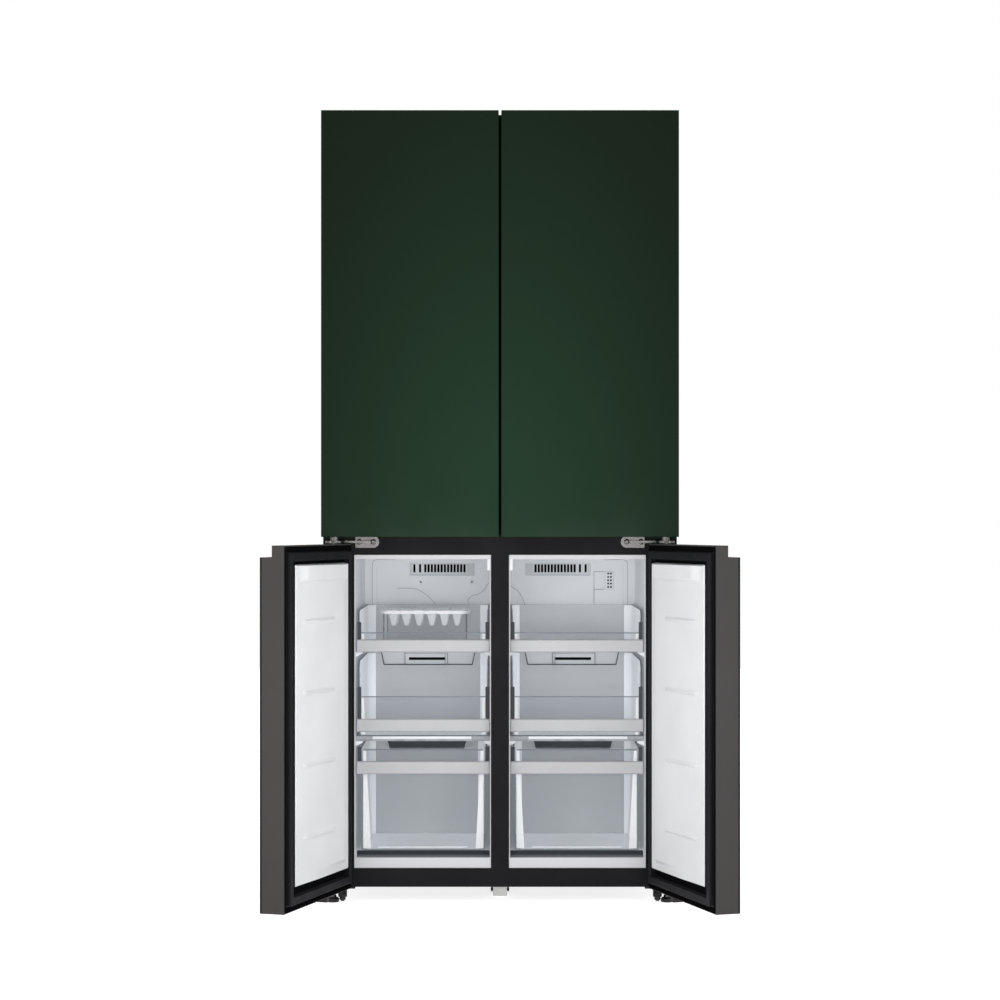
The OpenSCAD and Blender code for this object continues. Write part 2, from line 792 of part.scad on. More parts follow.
grille_z = freezer_z1 - 50.5;
grille_h = 20;
grille_x = 90.5;
slot_pitch = 8.3;
slot_w = 5;
slot_count = 13;
wide_slots = [203.5, 218];
outlet_x0 = 64;
outlet_x1 = 233;
outlet_h = 36;
outlet_rise = 5;
low_outlet_x0 = 138;
low_outlet_x1 = 242;
low_outlet_h = 52;
low_outlet_rise = 6;
low_outlet_drop = 20.2;
low_outlet_z = freezer_z0 + bin_z[MIDDLE] + bin_h[MIDDLE] - low_outlet_drop;
low_slot_h = 7;
return_slot_w = 14;
return_slot_h = 22;
sensor_x = 279;
sensor_w = 26;
sensor_h = 49;
sensor_z = freezer_z1 - 71.5;
sensor_hole_r = 2;
sensor_pitch = 8.5;

// Outlet slots of one bay: thirteen close ones, then two set wider
module outlet_slots() {
    for (x = concat([for (i = [0:slot_count - 1]) grille_x + i * slot_pitch], wide_slots))
        cover_slot(-x - slot_w / 2, slot_w, grille_z, grille_h);
}

// A slot through the cover and what stands on it
module cover_slot(x0, w, z0, h) {
    block(x0, x0 + w, cover_y - 20, cover_y + cover_t + eps, z0, z0 + h);
}

// Outline of the air duct's raised panel on the left: a wide head and a tongue, joined by hollows
module duct_plan() {
    head_x0 = -261;
    head_x1 = -30;
    head_z = freezer_z1 - 86.5;
    tongue_x0 = -186;
    tongue_x1 = -78;
    tongue_z = freezer_z1 - 181.5;
    left_hollow = 40;
    right_hollow = 26;
    translate([head_x0, head_z]) square([head_x1 - head_x0, freezer_z1 - head_z]);
    difference() {
        translate([tongue_x0 - left_hollow, tongue_z])
            square([tongue_x1 - tongue_x0 + left_hollow + right_hollow, head_z - tongue_z + eps]);
        translate([tongue_x0 - left_hollow, head_z - left_hollow]) circle(left_hollow);
        translate([tongue_x0 - left_hollow - eps, tongue_z - eps])
            square([left_hollow + eps, head_z - left_hollow - tongue_z + eps]);
        translate([tongue_x1 + right_hollow, head_z - right_hollow]) circle(right_hollow);
        translate([tongue_x1, tongue_z - eps])
            square([right_hollow + eps, head_z - right_hollow - tongue_z + eps]);
    }
}
duct_rise = 2;

module evaporator_cover() {
    fan_reach = evap_fan_y - cover_y - cover_t - 1;
    color(pale) placed() difference() {
        union() {
            block(-freezer_x1, freezer_x1, cover_y, cover_y + cover_t, step_z, freezer_z1);
            pair() {
                // Raised air duct, its outlet frame and the low outlet behind the middle drawer
                along_y(cover_y - duct_rise, cover_y + eps) duct_plan();
                drafted_outlet(-outlet_x1, -outlet_x0, grille_z - 11.5, grille_z - 11.5 + outlet_h,
                               outlet_rise);
                drafted_outlet(-low_outlet_x1, -low_outlet_x0, low_outlet_z - low_outlet_h / 2,
                               low_outlet_z + low_outlet_h / 2, low_outlet_rise);
            }
            // Sensor cover of the right bay
            drafted_outlet(sensor_x - sensor_w / 2, sensor_x + sensor_w / 2, sensor_z - sensor_h / 2,
                           sensor_z + sensor_h / 2, 3);
            // Motor boss and shaft of the fan behind the cover
            translate([0, cover_y + cover_t - eps, evap_fan_z]) rotate([-90, 0, 0]) {
                cylinder(r = evap_hub_r + 3, h = fan_reach - evap_fan_d / 2);
                cylinder(r = axle_r, h = fan_reach + evap_fan_d / 2 + 3);
            }
        }
        pair() outlet_slots();
        // Low outlet slot and return slots at the foot
        pair() cover_slot(-low_outlet_x1 + 10, low_outlet_x1 - low_outlet_x0 - 12, low_outlet_z - 1,
                          low_slot_h);
        pair() for (x = [100:22:276]) cover_slot(-x, return_slot_w, step_z + 8, return_slot_h);
        for (i = [-2:2], s = [-1, 1])
            translate([sensor_x + s * 3.5, cover_y, sensor_z + 0.5 + i * sensor_pitch])
                rotate([90, 0, 0]) cylinder(r = sensor_hole_r, h = 3 * cover_t, center = true, $fn = 16);
    }
}

// A low frame standing off the cover, its sides leaning in
module drafted_outlet(x0, x1, z0, z1, rise) {
    translate([0, cover_y + eps, 0]) mirror([0, 1, 0])
        drafted_block(x0, x1, 0, rise + eps, z0, z1, 3);
}

// An air duct on the back wall, with a pair of outlets above each shelf
module fridge_duct() {
    duct_half = 120;
    duct_t = 20;
    duct_end = 20;
    vent_x0 = 40;
    vent_x1 = 96;
    vent_h = 12;
    vent_rise = 100;
    color(white) placed() difference() {
        translate([0, inside_back, 0]) mirror([0, 1, 0])
            drafted_block(-duct_half, duct_half, 0, duct_t, fridge_z0 + first_shelf + 14,
                          fridge_z1 - duct_end, duct_t / 2);
        pair() for (z = shelf_z)
            block(vent_x0, vent_x1, inside_back - duct_t - eps, inside_back - duct_t + 12,
                  fridge_z0 + z + vent_rise, fridge_z0 + z + vent_rise + vent_h);
    }
}

// A pane in a deeper rim, its top just below the rim's
module fridge_shelves() {
    rim = 18;
    lip = 14;
    pane_t = 4.8;
    pane_drop = 1.2;
    color(clear) placed() for (z = shelf_z) translate([0, 0, fridge_z0 + z]) difference() {
        block(-fridge_x + seat_gap, fridge_x - seat_gap, shelf_y, shelf_y + shelf_d, -shelf_t, 0);
        block(-fridge_x + rim, fridge_x - rim, shelf_y + lip, shelf_y + shelf_d - lip,
              -shelf_t - eps, -pane_drop - pane_t);
        block(-fridge_x + lip, fridge_x - lip, shelf_y + lip - 4, shelf_y + shelf_d - lip + 4,
              -pane_drop, eps);
    }
}

module freezer_shelves() {
    color(white) placed() pair() difference() {
        block(-freezer_x1 + seat_gap, -freezer_x0 - seat_gap, bin_y + 4, drawer_back,
              shelf_ledge_z + seat_gap, mid_shelf_z);
        // Thin web inside a deep rim
        block(-freezer_x1 + ledge_w + 8, -freezer_x0 - ledge_w - 8, bin_y + 14, drawer_back - 12,
              shelf_ledge_z, mid_shelf_z - 4);
    }
}

// Drawers

// An open tub in XY: walls t, corner radius r, sides leaning in by taper towards the floor
module tub(w, d, h, t, r, taper = 0) {
    difference() {
        tub_form(w, d, h, r, taper);
        translate([t, t, t]) tub_form(w - 2 * t, d - 2 * t, h, r - t, taper);
    }
}

module tub_form(w, d, h, r, taper) {
    if (taper == 0) linear_extrude(h) rounded_rect(w, d, r);
    else intersection() {
        linear_extrude(h) rounded_rect(w, d, r);
        along_y(0, d) polygon([[taper, 0], [w - taper, 0], [w, h], [0, h]]);
    }
}

// The front of a bin is lower than its sides, and the side walls rise in a round corner
module front_cut(w, h, front_h, r) {
    along_x(-eps, w + eps) difference() {
        translate([-eps, front_h]) square([r + eps + 4, h - front_h + eps]);
        translate([4, front_h - eps]) square([r + 1, h - front_h - r + eps]);
        translate([r + 4, h - r]) circle(r);
    }
}

module drawer_bin(side, level) {
    w = bin_w[level];
    h = bin_h[level];
    color(clear) placed() on_side(side)
        translate([-bay_x - w / 2, bin_y, freezer_z0 + bin_z[level]]) difference() {
            tub(w, bin_d[level], h, bin_t, 9, bin_taper[level]);
            if (bin_front_h[level] < h - 4) front_cut(w, h, bin_front_h[level], bin_corner[level]);
            // Notch in the back wall, in front of the air outlet
            if (notch_w[level] > 0) along_y(bin_d[level] - 14, bin_d[level] + eps) polygon([
                [w / 2 - notch_w[level] / 2 + 7, h - notch_drop[level]],
                [w / 2 + notch_w[level] / 2 - 7, h - notch_drop[level]],
                [w / 2 + notch_w[level] / 2, h + eps], [w / 2 - notch_w[level] / 2, h + eps]
            ]);
        }
}

// White front rail with a rounded face, and the two grey posts that hold the clear strip
module drawer_rail(side, level) {
    z0 = freezer_z0 + bin_z[level] + rail_rise[level];
    color(white) placed() on_side(side) {
        along_x(-rail_x0 - rail_w, -rail_x0) difference() {
            translate([drawer_setback, z0]) square([rail_d, rail_h]);
            // Front corners are round
            for (z = [0, 1]) translate([drawer_setback, z0 + z * rail_h]) difference() {
                square(8, center = true);
                translate([4, z == 0 ? 4 : -4]) circle(4);
            }
        }
        for (x = [-rail_x0 - rail_w + 1, -rail_x0 - 1 - rail_post_w])
            block(x, x + rail_post_w, bin_y - rail_post_d, bin_y,
                  z0 + rail_h - 2, z0 + rail_h + post_h[level]);
    }
}

ice_w = 206;
ice_d = 210;
ice_back = 54;
ice_y = drawer_back - ice_back - ice_d;
ice_h = 83;
ice_z = freezer_z0 + bin_z[TOP] + bin_t + seat_gap;
tray_top = ice_z + ice_h + seat_gap + 7;

module ice_bin() {
    color(clear) placed() translate([-bay_x - ice_w / 2, ice_y, ice_z])
        tub(ice_w, ice_d, ice_h, 2.2, 10);
}

// A tray of tapered cups hung by its rim on the ice bin
module ice_tray() {
    cups_x = 6;
    cups_y = 3;
    pitch_x = 31;
    pitch_y = 62;
    cup_h = 30;
    color(white) placed() translate([-bay_x, ice_y + ice_d / 2, tray_top]) difference() {
        union() {
            block(-ice_w / 2 - 5, ice_w / 2 + 5, -ice_d / 2 - 5, ice_d / 2 + 5, -7, 0);
            for (i = [0:cups_x - 1], j = [0:cups_y - 1])
                cup_at(i, j, cups_x, cups_y, pitch_x, pitch_y) cup(27, 54, cup_h + 7, 9);
        }
        for (i = [0:cups_x - 1], j = [0:cups_y - 1])
            cup_at(i, j, cups_x, cups_y, pitch_x, pitch_y) translate([0, 0, eps]) cup(24, 51, cup_h + 6, 8);
    }
}

module cup_at(i, j, nx, ny, px, py) {
    translate([(i - (nx - 1) / 2) * px, (j - (ny - 1) / 2) * py, 0]) children();
}

// A tapered cup hanging down from its rim
module cup(w, d, h, draft) {
    intersection() {
        along_y(-d / 2, d / 2)
            polygon([[-w / 2, 0], [w / 2, 0], [w / 2 - draft, -h], [-w / 2 + draft, -h]]);
        along_x(-w / 2, w / 2)
            polygon([[-d / 2, 0], [d / 2, 0], [d / 2 - draft, -h], [-d / 2 + draft, -h]]);
    }
}

crisper_gap = 14;
crisper_w = fridge_x - crisper_gap - 6;

module crisper(side) {
    color(clear) placed() on_side(side)
        translate([-fridge_x + crisper_gap, crisper_setback, fridge_z0 + seat_gap]) {
            tub(crisper_w, crisper_d, crisper_h, 3, 14);
            // Grip rail along the top of the front
            along_x(14, crisper_w - 14) polygon([
                [1, crisper_h - 34], [1, crisper_h], [-14, crisper_h], [-14, crisper_h - 6],
                [-4, crisper_h - 10], [-4, crisper_h - 34]
            ]);
        }
}

// Doors

// A door is drawn shut on the left, then swung about its hinge and mirrored as needed
module door_place(side, level) {
    placed() on_side(side) translate([-hinge_x, hinge_y, 0])
        rotate(level == LOWER ? -lower_open : 0) translate([hinge_x, -hinge_y, 0]) children();
}

function door_z0(level) = level == UPPER ? upper_z0 : lower_z0;
function door_z1(level) = level == UPPER ? cabinet_h : lower_z1;
door_x0 = -half_w;
door_x1 = -door_gap / 2;

module door_panel(side, level) {
    z1 = level == UPPER ? cabinet_h : lower_front_z1;
    color(green_glass) door_place(side, level)
        bevelled_plate(door_x0, door_x1, door_front, casing_front, door_z0(level), z1, panel_bevel);
}

grip_d = 20;
grip_h = 30;
grip_end = 5;

module door_casing(side, level) {
    z0 = door_z0(level);
    z1 = door_z1(level);
    layer_y = door_front + front_layer;
    color(door_brown) door_place(side, level) difference() {
        union() {
            if (level == UPPER) casing_body(casing_front, z0, z1);
            else {
                casing_body(layer_y - eps, z0, z1);
                block(door_x0, door_x1, casing_front, layer_y, z0, lower_front_z1);
                // Stop tab under the door
                block(-hinge_x + 108, -hinge_x + 122, hinge_y + 4, door_back - 3, z0 - 12, z0 + eps);
            }
        }
        // Finger grip behind the front layer
        if (level == UPPER)
            block(door_x0 + 70, door_x1 - grip_end, layer_y - grip_d, layer_y, z0 - eps, z0 + grip_h);
        else
            block(door_x0 + grip_end, door_x1 - grip_end, layer_y - grip_d, layer_y,
                  lower_front_z1 - grip_h, z1 + eps);
        // Hinge bores
        translate([-hinge_x, hinge_y, z0 - eps])
            cylinder(r = pin_r + running_gap, h = pin_len + 2 + eps);
        if (level == LOWER) translate([-hinge_x, hinge_y, z1 - pin_len - 2])
            cylinder(r = pin_r + running_gap, h = pin_len + 2 + eps);
        else {
            translate([-hinge_x, hinge_y, z1 - notch_h - pin_len - 2])
                cylinder(r = pin_r + running_gap, h = pin_len + 2 + eps);
            block(door_x0 - eps, door_x0 + recess_w, casing_front, door_back + eps,
                  z1 - notch_h, z1 + eps);
        }
    }
}

// The casing's plan: its inner corner on the hinge side is round, so that it clears the frame
module casing_body(y0, z0, z1) {
    r = 8;
    translate([0, 0, z0]) linear_extrude(z1 - z0) difference() {
        translate([door_x0, y0]) square([door_x1 - door_x0, door_back - y0]);
        translate([door_x0, door_back]) difference() {
            square(2 * r, center = true);
            translate([r, -r]) circle(r);
        }
    }
}

liner_inset = 46;
dike_gap = 9;
upper_dike = 22;
field_border = 24;

// The white inner face of a door, from the flange under the seal to its raised forms
module door_liner(side, level) {
    x0 = door_x0 + liner_inset + 4;
    x1 = door_x1 - liner_inset;
    z0 = level == UPPER ? fridge_z0 + dike_gap : door_z0(level) + liner_inset;
    z1 = level == UPPER ? fridge_z1 - dike_gap : door_z1(level) - liner_inset;
    color(white) door_place(side, level) difference() {
        union() {
            block(x0 - 3, x1 + 3, door_back, door_back + 2.5, z0 - 3, z1 + 3);
            if (level == UPPER) drafted_block(x0, x1, door_back, upper_dike, z0, z1, 9);
            else lower_field(x0, x1, z0, z1);
        }
        if (level == UPPER) upper_field(x0, x1, z0, z1);
    }
}

// The sunk field inside the upper liner's raised border
module upper_field(x0, x1, z0, z1) {
    b = field_border;
    translate([0, upper_dike, 0]) mirror([0, 1, 0])
        drafted_block(x0 + b, x1 - b, -eps, upper_dike - door_back - 4, z0 + b, z1 - b, 6);
}

// The freezer liner's steps: a low field, a hump over the top drawer and faint ribs
module lower_field(x0, x1, z0, z1) {
    inner_x0 = -freezer_x1 + 7;
    inner_x1 = min(x1, -freezer_x0 - 7) - 3;
    drafted_block(x0, x1, door_back, -1.5, z0, z1, 5);
    drafted_block(inner_x0, inner_x1, -2, 4, freezer_z0 + lip_floor + 3, z1 - 6, 4);
    drafted_block(inner_x0 + 16, inner_x1 - 3, 3, 17, z1 - 46, z1 - 11, 5);
    for (i = [0:3])
        drafted_block(inner_x0 + 44, inner_x1 - 60, 3, 6, z0 + 110 + i * 161, z0 + 118 + i * 161, 2);
}

// The magnetic seal: a foot on the door, a bellows and the face that meets the frame. On the
// hinge side the face starts at the hinge axis, so that it lifts off the frame as the door turns
module door_seal(side, level) {
    z0 = door_z0(level) + seal_inset;
    z1 = door_z1(level) - (level == UPPER ? notch_h + 4 : seal_inset);
    x0 = door_x0 + seal_inset;
    x1 = door_x1 - seal_inset / 2;
    foot_t = 4;
    face_t = 3;
    face_w = 17;
    color(black) door_place(side, level) {
        ring(x0 + 2, x1 - 2, door_back, door_back + foot_t, z0 + 2, z1 - 2, seal_w - 4);
        ring(x0 + 7, x1 - 5, door_back + foot_t, -face_t, z0 + 5, z1 - 5, seal_w - 10);
        ring(-hinge_x, x1 - 3, -face_t, 0, z0 + 3, z1 - 3, face_w);
    }
}

module door_bins(side) {
    x0 = door_x0 + liner_inset + 34;
    w = door_x1 - liner_inset - 30 - x0;
    color(clear) door_place(side, UPPER) for (i = [0:2])
        translate([x0, door_bin_y, fridge_z0 + door_bin_z[i]])
            tub(w, door_bin_d, door_bin_h[i], 2.6, 14);
}

// Hinges

module hinge_pin(z0, z1) {
    translate([-hinge_x, hinge_y, z0]) cylinder(r = pin_r, h = z1 - z0);
}

module outer_hinges() {
    z = cabinet_h - recess_h;
    color(zinc) placed() pair() {
        // Top: a plate in the recess, an arm over the door, a pin down into it
        translate([0, 0, z]) linear_extrude(hinge_plate) top_arm(15);
        hinge_pin(z - pin_len - 2, z + eps);
        // Bottom: a plate under the base, a shoulder and a pin up into the door
        difference() {
            translate([0, 0, base_z - hinge_plate]) linear_extrude(hinge_plate) bottom_arm();
            translate([-foot_x, foot_y, base_z - 10])
                cylinder(r = foot_screw_r + running_gap, h = 12);
            block(-front_wheel_x - 12, -front_wheel_x + 12, front_wheel_y - 20, front_wheel_y + 20,
                  0, base_z + eps);
        }
        translate([-hinge_x, hinge_y, base_z - eps]) cylinder(r = pin_r + 4, h = eps + 1 - seat_gap);
        hinge_pin(base_z - eps, lower_z0 + pin_len);
    }
}

module top_arm(r) {
    translate([-hinge_x, hinge_y]) circle(r);
    translate([-hinge_x, hinge_y]) square([34, recess_d - 12 - hinge_y]);
    translate([-half_w + 6, 14]) square([recess_w - 10, recess_d - 26]);
}

module bottom_arm() {
    translate([-hinge_x, hinge_y]) circle(18);
    translate([-hinge_x - 18, hinge_y]) square([36, 8 - hinge_y]);
    translate([-half_w + 3, 4]) square([72, 62]);
}

module hinge_covers() {
    z0 = cabinet_h - recess_h + hinge_plate + seat_gap;
    color(black) placed() pair() difference() {
        translate([0, 0, z0]) linear_extrude(cabinet_h - z0 - 0.5) cover_plan(0);
        translate([0, 0, z0 - eps]) linear_extrude(cabinet_h - z0 - 2.5 + eps) cover_plan(2);
    }
}

// The cover's plan follows the arm, drawn in by t for its hollow
module cover_plan(t) {
    translate([-hinge_x, hinge_y]) circle(17 - t);
    translate([-hinge_x + t, hinge_y]) square([36 - 2 * t, 12 - hinge_y]);
    translate([-half_w + 3 + t, 6 + t]) square([recess_w - 5 - 2 * t, recess_d - 10 - 2 * t]);
}

flange_w = 56;
flange_h = 28;
flange_t = 3;
arm_z = lower_z1 + 2;

module middle_hinges() {
    fx = -freezer_x1 + 3;
    color(zinc) placed() pair() {
        // Flange screwed to the crossbar, its inner end round
        difference() {
            translate([fx, 0, arm_z + hinge_plate / 2]) along_y(-flange_t, 0) {
                translate([0, -flange_h / 2]) square([flange_w - flange_h / 2, flange_h]);
                translate([flange_w - flange_h / 2, 0]) circle(flange_h / 2);
            }
            for (x = [fx + 9, fx + 42]) translate([x, 0, arm_z + hinge_plate / 2])
                rotate([90, 0, 0]) cylinder(r = 3, h = 20, center = true, $fn = 24);
        }
        // Arm between the doors, shoulders and pins
        translate([0, 0, arm_z]) linear_extrude(hinge_plate) {
            translate([-hinge_x, hinge_y]) circle(22);
            translate([-hinge_x - 22, hinge_y]) square([44, -hinge_y]);
            translate([-hinge_x - 22, -12]) square([fx + flange_w - 20 + hinge_x + 22, 12]);
        }
        translate([-hinge_x, hinge_y, arm_z]) cylinder(r = pin_r + 4, h = upper_z0 - seat_gap - arm_z);
        hinge_pin(lower_z1 - pin_len, upper_z0 + pin_len);
    }
}

// Running gear

module foot(side) {
    color(black) placed() on_side(side) translate([-foot_x, foot_y, 0]) {
        rotate_extrude() polygon([
            [0, 0], [foot_r - 1, 0], [foot_r, 1], [foot_r, 8], [foot_r - 3, 11], [0, 11]
        ]);
        cylinder(r = foot_screw_r, h = base_z - 0.5);
    }
}

module front_wheels() {
    color(black) placed() pair()
        wheel(-front_wheel_x, front_wheel_y, front_wheel_r, front_wheel_w, front_lift, 4);
}

module centre_roller() {
    color(pale) placed() wheel(0, centre_roller_y, centre_roller_r, centre_roller_w, 0);
}

module rear_wheels() {
    color(black) placed() pair() wheel(-rear_wheel_x, rear_wheel_y, rear_wheel_r, rear_wheel_w, 0);
}

cabinet_shell();
back_panel();
front_frame();
insulation();
fridge_liner();
freezer_liner();
freezer_partition();
base_plate();
machine_room_cover();
compressor();
condenser();
condenser_fan();
evaporator();
evaporator_fan();
evaporator_cover();
fridge_duct();
fridge_shelves();
freezer_shelves();
outer_hinges();
middle_hinges();
hinge_covers();
crisper(LEFT);  // crisper_left
crisper(RIGHT);  // crisper_right
foot(LEFT);  // foot_left
foot(RIGHT);  // foot_right
front_wheels();
centre_roller();
rear_wheels();
drawer_bin(LEFT, TOP);  // left_top_bin
drawer_rail(LEFT, TOP);  // left_top_rail
drawer_bin(LEFT, MIDDLE);  // left_middle_bin
drawer_rail(LEFT, MIDDLE);  // left_middle_rail
drawer_bin(LEFT, BOTTOM);  // left_bottom_bin
drawer_rail(LEFT, BOTTOM);  // left_bottom_rail
drawer_bin(RIGHT, TOP);  // right_top_bin
drawer_rail(RIGHT, TOP);  // right_top_rail
drawer_bin(RIGHT, MIDDLE);  // right_middle_bin
drawer_rail(RIGHT, MIDDLE);  // right_middle_rail
drawer_bin(RIGHT, BOTTOM);  // right_bottom_bin
drawer_rail(RIGHT, BOTTOM);  // right_bottom_rail
ice_bin();
ice_tray();
door_panel(LEFT, UPPER);  // upper_left_panel
door_casing(LEFT, UPPER);  // upper_left_casing
door_liner(LEFT, UPPER);  // upper_left_liner
door_seal(LEFT, UPPER);  // upper_left_seal
door_panel(RIGHT, UPPER);  // upper_right_panel
door_casing(RIGHT, UPPER);  // upper_right_casing
door_liner(RIGHT, UPPER);  // upper_right_liner
door_seal(RIGHT, UPPER);  // upper_right_seal
door_panel(LEFT, LOWER);  // lower_left_panel
door_casing(LEFT, LOWER);  // lower_left_casing
door_liner(LEFT, LOWER);  // lower_left_liner
door_seal(LEFT, LOWER);  // lower_left_seal
door_panel(RIGHT, LOWER);  // lower_right_panel
door_casing(RIGHT, LOWER);  // lower_right_casing
door_liner(RIGHT, LOWER);  // lower_right_liner
door_seal(RIGHT, LOWER);  // lower_right_seal
door_bins(LEFT);  // upper_left_bins
door_bins(RIGHT);  // upper_right_bins
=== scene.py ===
"""Looks of a four-door refrigerator with glass fronts and a bottom freezer.

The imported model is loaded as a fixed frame. Its nodes keep their meshes and get their finishes
here, and small pieces that the solids leave out are added as surfaces worked out with numpy.
Lengths are in metres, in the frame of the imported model. What comes in pairs is drawn on the left
half, and the right half is its mirror image.
"""

import json
import logging
import math
from dataclasses import dataclass, replace
from enum import Enum
from functools import cache
from typing import Sequence

import bmesh
import bpy
import numpy as np
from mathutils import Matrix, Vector


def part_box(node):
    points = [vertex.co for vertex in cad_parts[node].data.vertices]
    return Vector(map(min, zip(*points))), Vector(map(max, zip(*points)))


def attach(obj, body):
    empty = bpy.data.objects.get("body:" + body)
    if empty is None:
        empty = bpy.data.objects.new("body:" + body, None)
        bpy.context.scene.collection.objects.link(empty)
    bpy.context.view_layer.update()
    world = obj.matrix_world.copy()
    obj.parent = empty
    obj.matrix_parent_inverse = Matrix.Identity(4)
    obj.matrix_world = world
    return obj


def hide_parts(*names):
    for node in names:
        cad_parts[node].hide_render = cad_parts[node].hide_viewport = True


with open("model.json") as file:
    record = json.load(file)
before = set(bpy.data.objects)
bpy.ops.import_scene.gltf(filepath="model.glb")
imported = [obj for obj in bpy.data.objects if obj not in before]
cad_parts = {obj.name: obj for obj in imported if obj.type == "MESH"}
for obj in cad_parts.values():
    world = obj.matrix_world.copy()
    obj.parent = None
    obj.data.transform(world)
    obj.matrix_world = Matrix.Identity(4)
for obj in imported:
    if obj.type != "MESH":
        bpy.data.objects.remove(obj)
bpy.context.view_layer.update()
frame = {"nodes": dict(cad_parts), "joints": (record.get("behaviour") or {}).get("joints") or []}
LOG = logging.getLogger("refrigerator")
FRONT = float(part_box("front_frame")[0][1])

Colour = tuple[float, float, float]
Point = tuple[float, float, float]
Pair = Sequence[float]
Node = bpy.types.Node
Socket = bpy.types.NodeSocket


@dataclass(frozen=True)
class DrawerForm:
    """What differs between the drawers of a freezer compartment.

    Attributes:
        front: height of the clear front wall.
        turn: radius of the side walls' upper front corner.
        lean: how far the side walls lean inward at the floor.
        notch: half the width and the depth of the notch in the back wall.
    """

    front: float
    turn: float
    lean: float = 0.002
    notch: tuple[float, float] | None = None


class Word(Enum):
    """Choices whose names make up the names of nodes, bodies and pieces."""

    @property
    def word(self) -> str:
        """The choice's name in small letters."""
        return self.name.lower()


class Side(Word):
    """The two halves of the refrigerator, with the sign of X."""

    LEFT = -1
    RIGHT = 1


class Level(Word):
    """The three drawers of a freezer compartment, with their forms."""

    TOP = DrawerForm(0.046, 0.020)
    MIDDLE = DrawerForm(0.095, 0.034, notch=(0.118, 0.031))
    BOTTOM = DrawerForm(0.240, 0.002, lean=0.012, notch=(0.098, 0.027))


# Finishes


def linear(colour: Colour) -> tuple[float, ...]:
    """Turn a display colour into the linear one that a shader takes: a power of 2.4 above a short
    straight foot, in each channel.

    Args:
        colour: red, green and blue from 0 to 1, as they are seen on a screen.

    Returns:
        Linear red, green, blue and an alpha of 1.
    """
    shown = np.asarray(colour)
    return (*np.where(shown <= 0.04045, shown / 12.92, ((shown + 0.055) / 1.055) ** 2.4).tolist(), 1.0)


class NodeGraph:
    """Short ways to add and link the shader nodes of a material or a world."""

    def __init__(self, owner: bpy.types.Material | bpy.types.World) -> None:
        """Leave the owner with an output node alone.

        Args:
            owner: the material or the world.
        """
        owner.use_nodes = True
        self.owner, self.tree = owner, owner.node_tree
        self.tree.nodes.clear()
        self.output = self.add("Output" + type(owner).__name__)

    def add(self, kind: str, inputs: dict | None = None, **settings: str) -> Node:
        """Add a shader node.

        Args:
            kind: the node's type, without its prefix.
            inputs: socket names or numbers with a value or another node's output socket.
            settings: the node's own properties.

        Returns:
            The new node.
        """
        node = self.tree.nodes.new("ShaderNode" + kind)
        for key, value in settings.items():
            setattr(node, key, value)
        for key, value in (inputs or {}).items():
            if isinstance(value, Socket):
                self.tree.links.new(value, node.inputs[key])
            else:
                node.inputs[key].default_value = value
        return node

    def math(self, operation: str, *values: Socket | float) -> Socket:
        """The result of an arithmetic operation on sockets and numbers."""
        return self.add("Math", dict(enumerate(values)), operation=operation).outputs[0]

    def place(self, scale: Point = (1, 1, 1), shift: Point = (0, 0, 0)) -> Socket:
        """Object coordinates, stretched by scale and then shifted."""
        coords = self.add("TexCoord").outputs["Object"]
        return self.add("Mapping", {"Vector": coords, "Location": shift, "Scale": scale}).outputs["Vector"]

    def noise(self, where: Socket, scale: float, detail: float = 2.0) -> Socket:
        """Fractal noise between about 0.3 and 0.7, with scale cells a metre and detail octaves."""
        return self.add("TexNoise", {"Vector": where, "Scale": scale, "Detail": detail}).outputs["Fac"]

    def span(self, value: Socket, start: float, stop: float, low: float = 0.0, high: float = 1.0,
             curve: str = "LINEAR") -> Socket:
        """Carry a value from start to stop onto low to high, held beyond both ends."""
        return self.add("MapRange", {"Value": value, "From Min": start, "From Max": stop, "To Min": low,
                                     "To Max": high}, interpolation_type=curve).outputs["Result"]

    def spread(self, noise: Socket, low: float, high: float) -> Socket:
        """Stretch noise onto low to high."""
        return self.span(noise, 0.3, 0.7, low, high)

    def blend(self, factor: Socket, low: Sequence[float], high: Sequence[float] | Socket) -> Socket:
        """Mix two linear colours: low where the factor is 0, high where it is 1."""
        return self.add("Mix", {"Factor": factor, "A": low, "B": high}, data_type="RGBA").outputs["Result"]

    def bump(self, height: Socket, depth: float) -> Socket:
        """The normal of a surface raised by a height, which at 1 stands for depth metres."""
        return self.add("Bump", {"Height": height, "Distance": depth, "Strength": 0.6}).outputs["Normal"]

    def finish(self, shader: Node) -> bpy.types.Material | bpy.types.World:
        """Join a shader to the output and hand back the owner."""
        self.tree.links.new(shader.outputs[0], self.output.inputs["Surface"])
        return self.owner


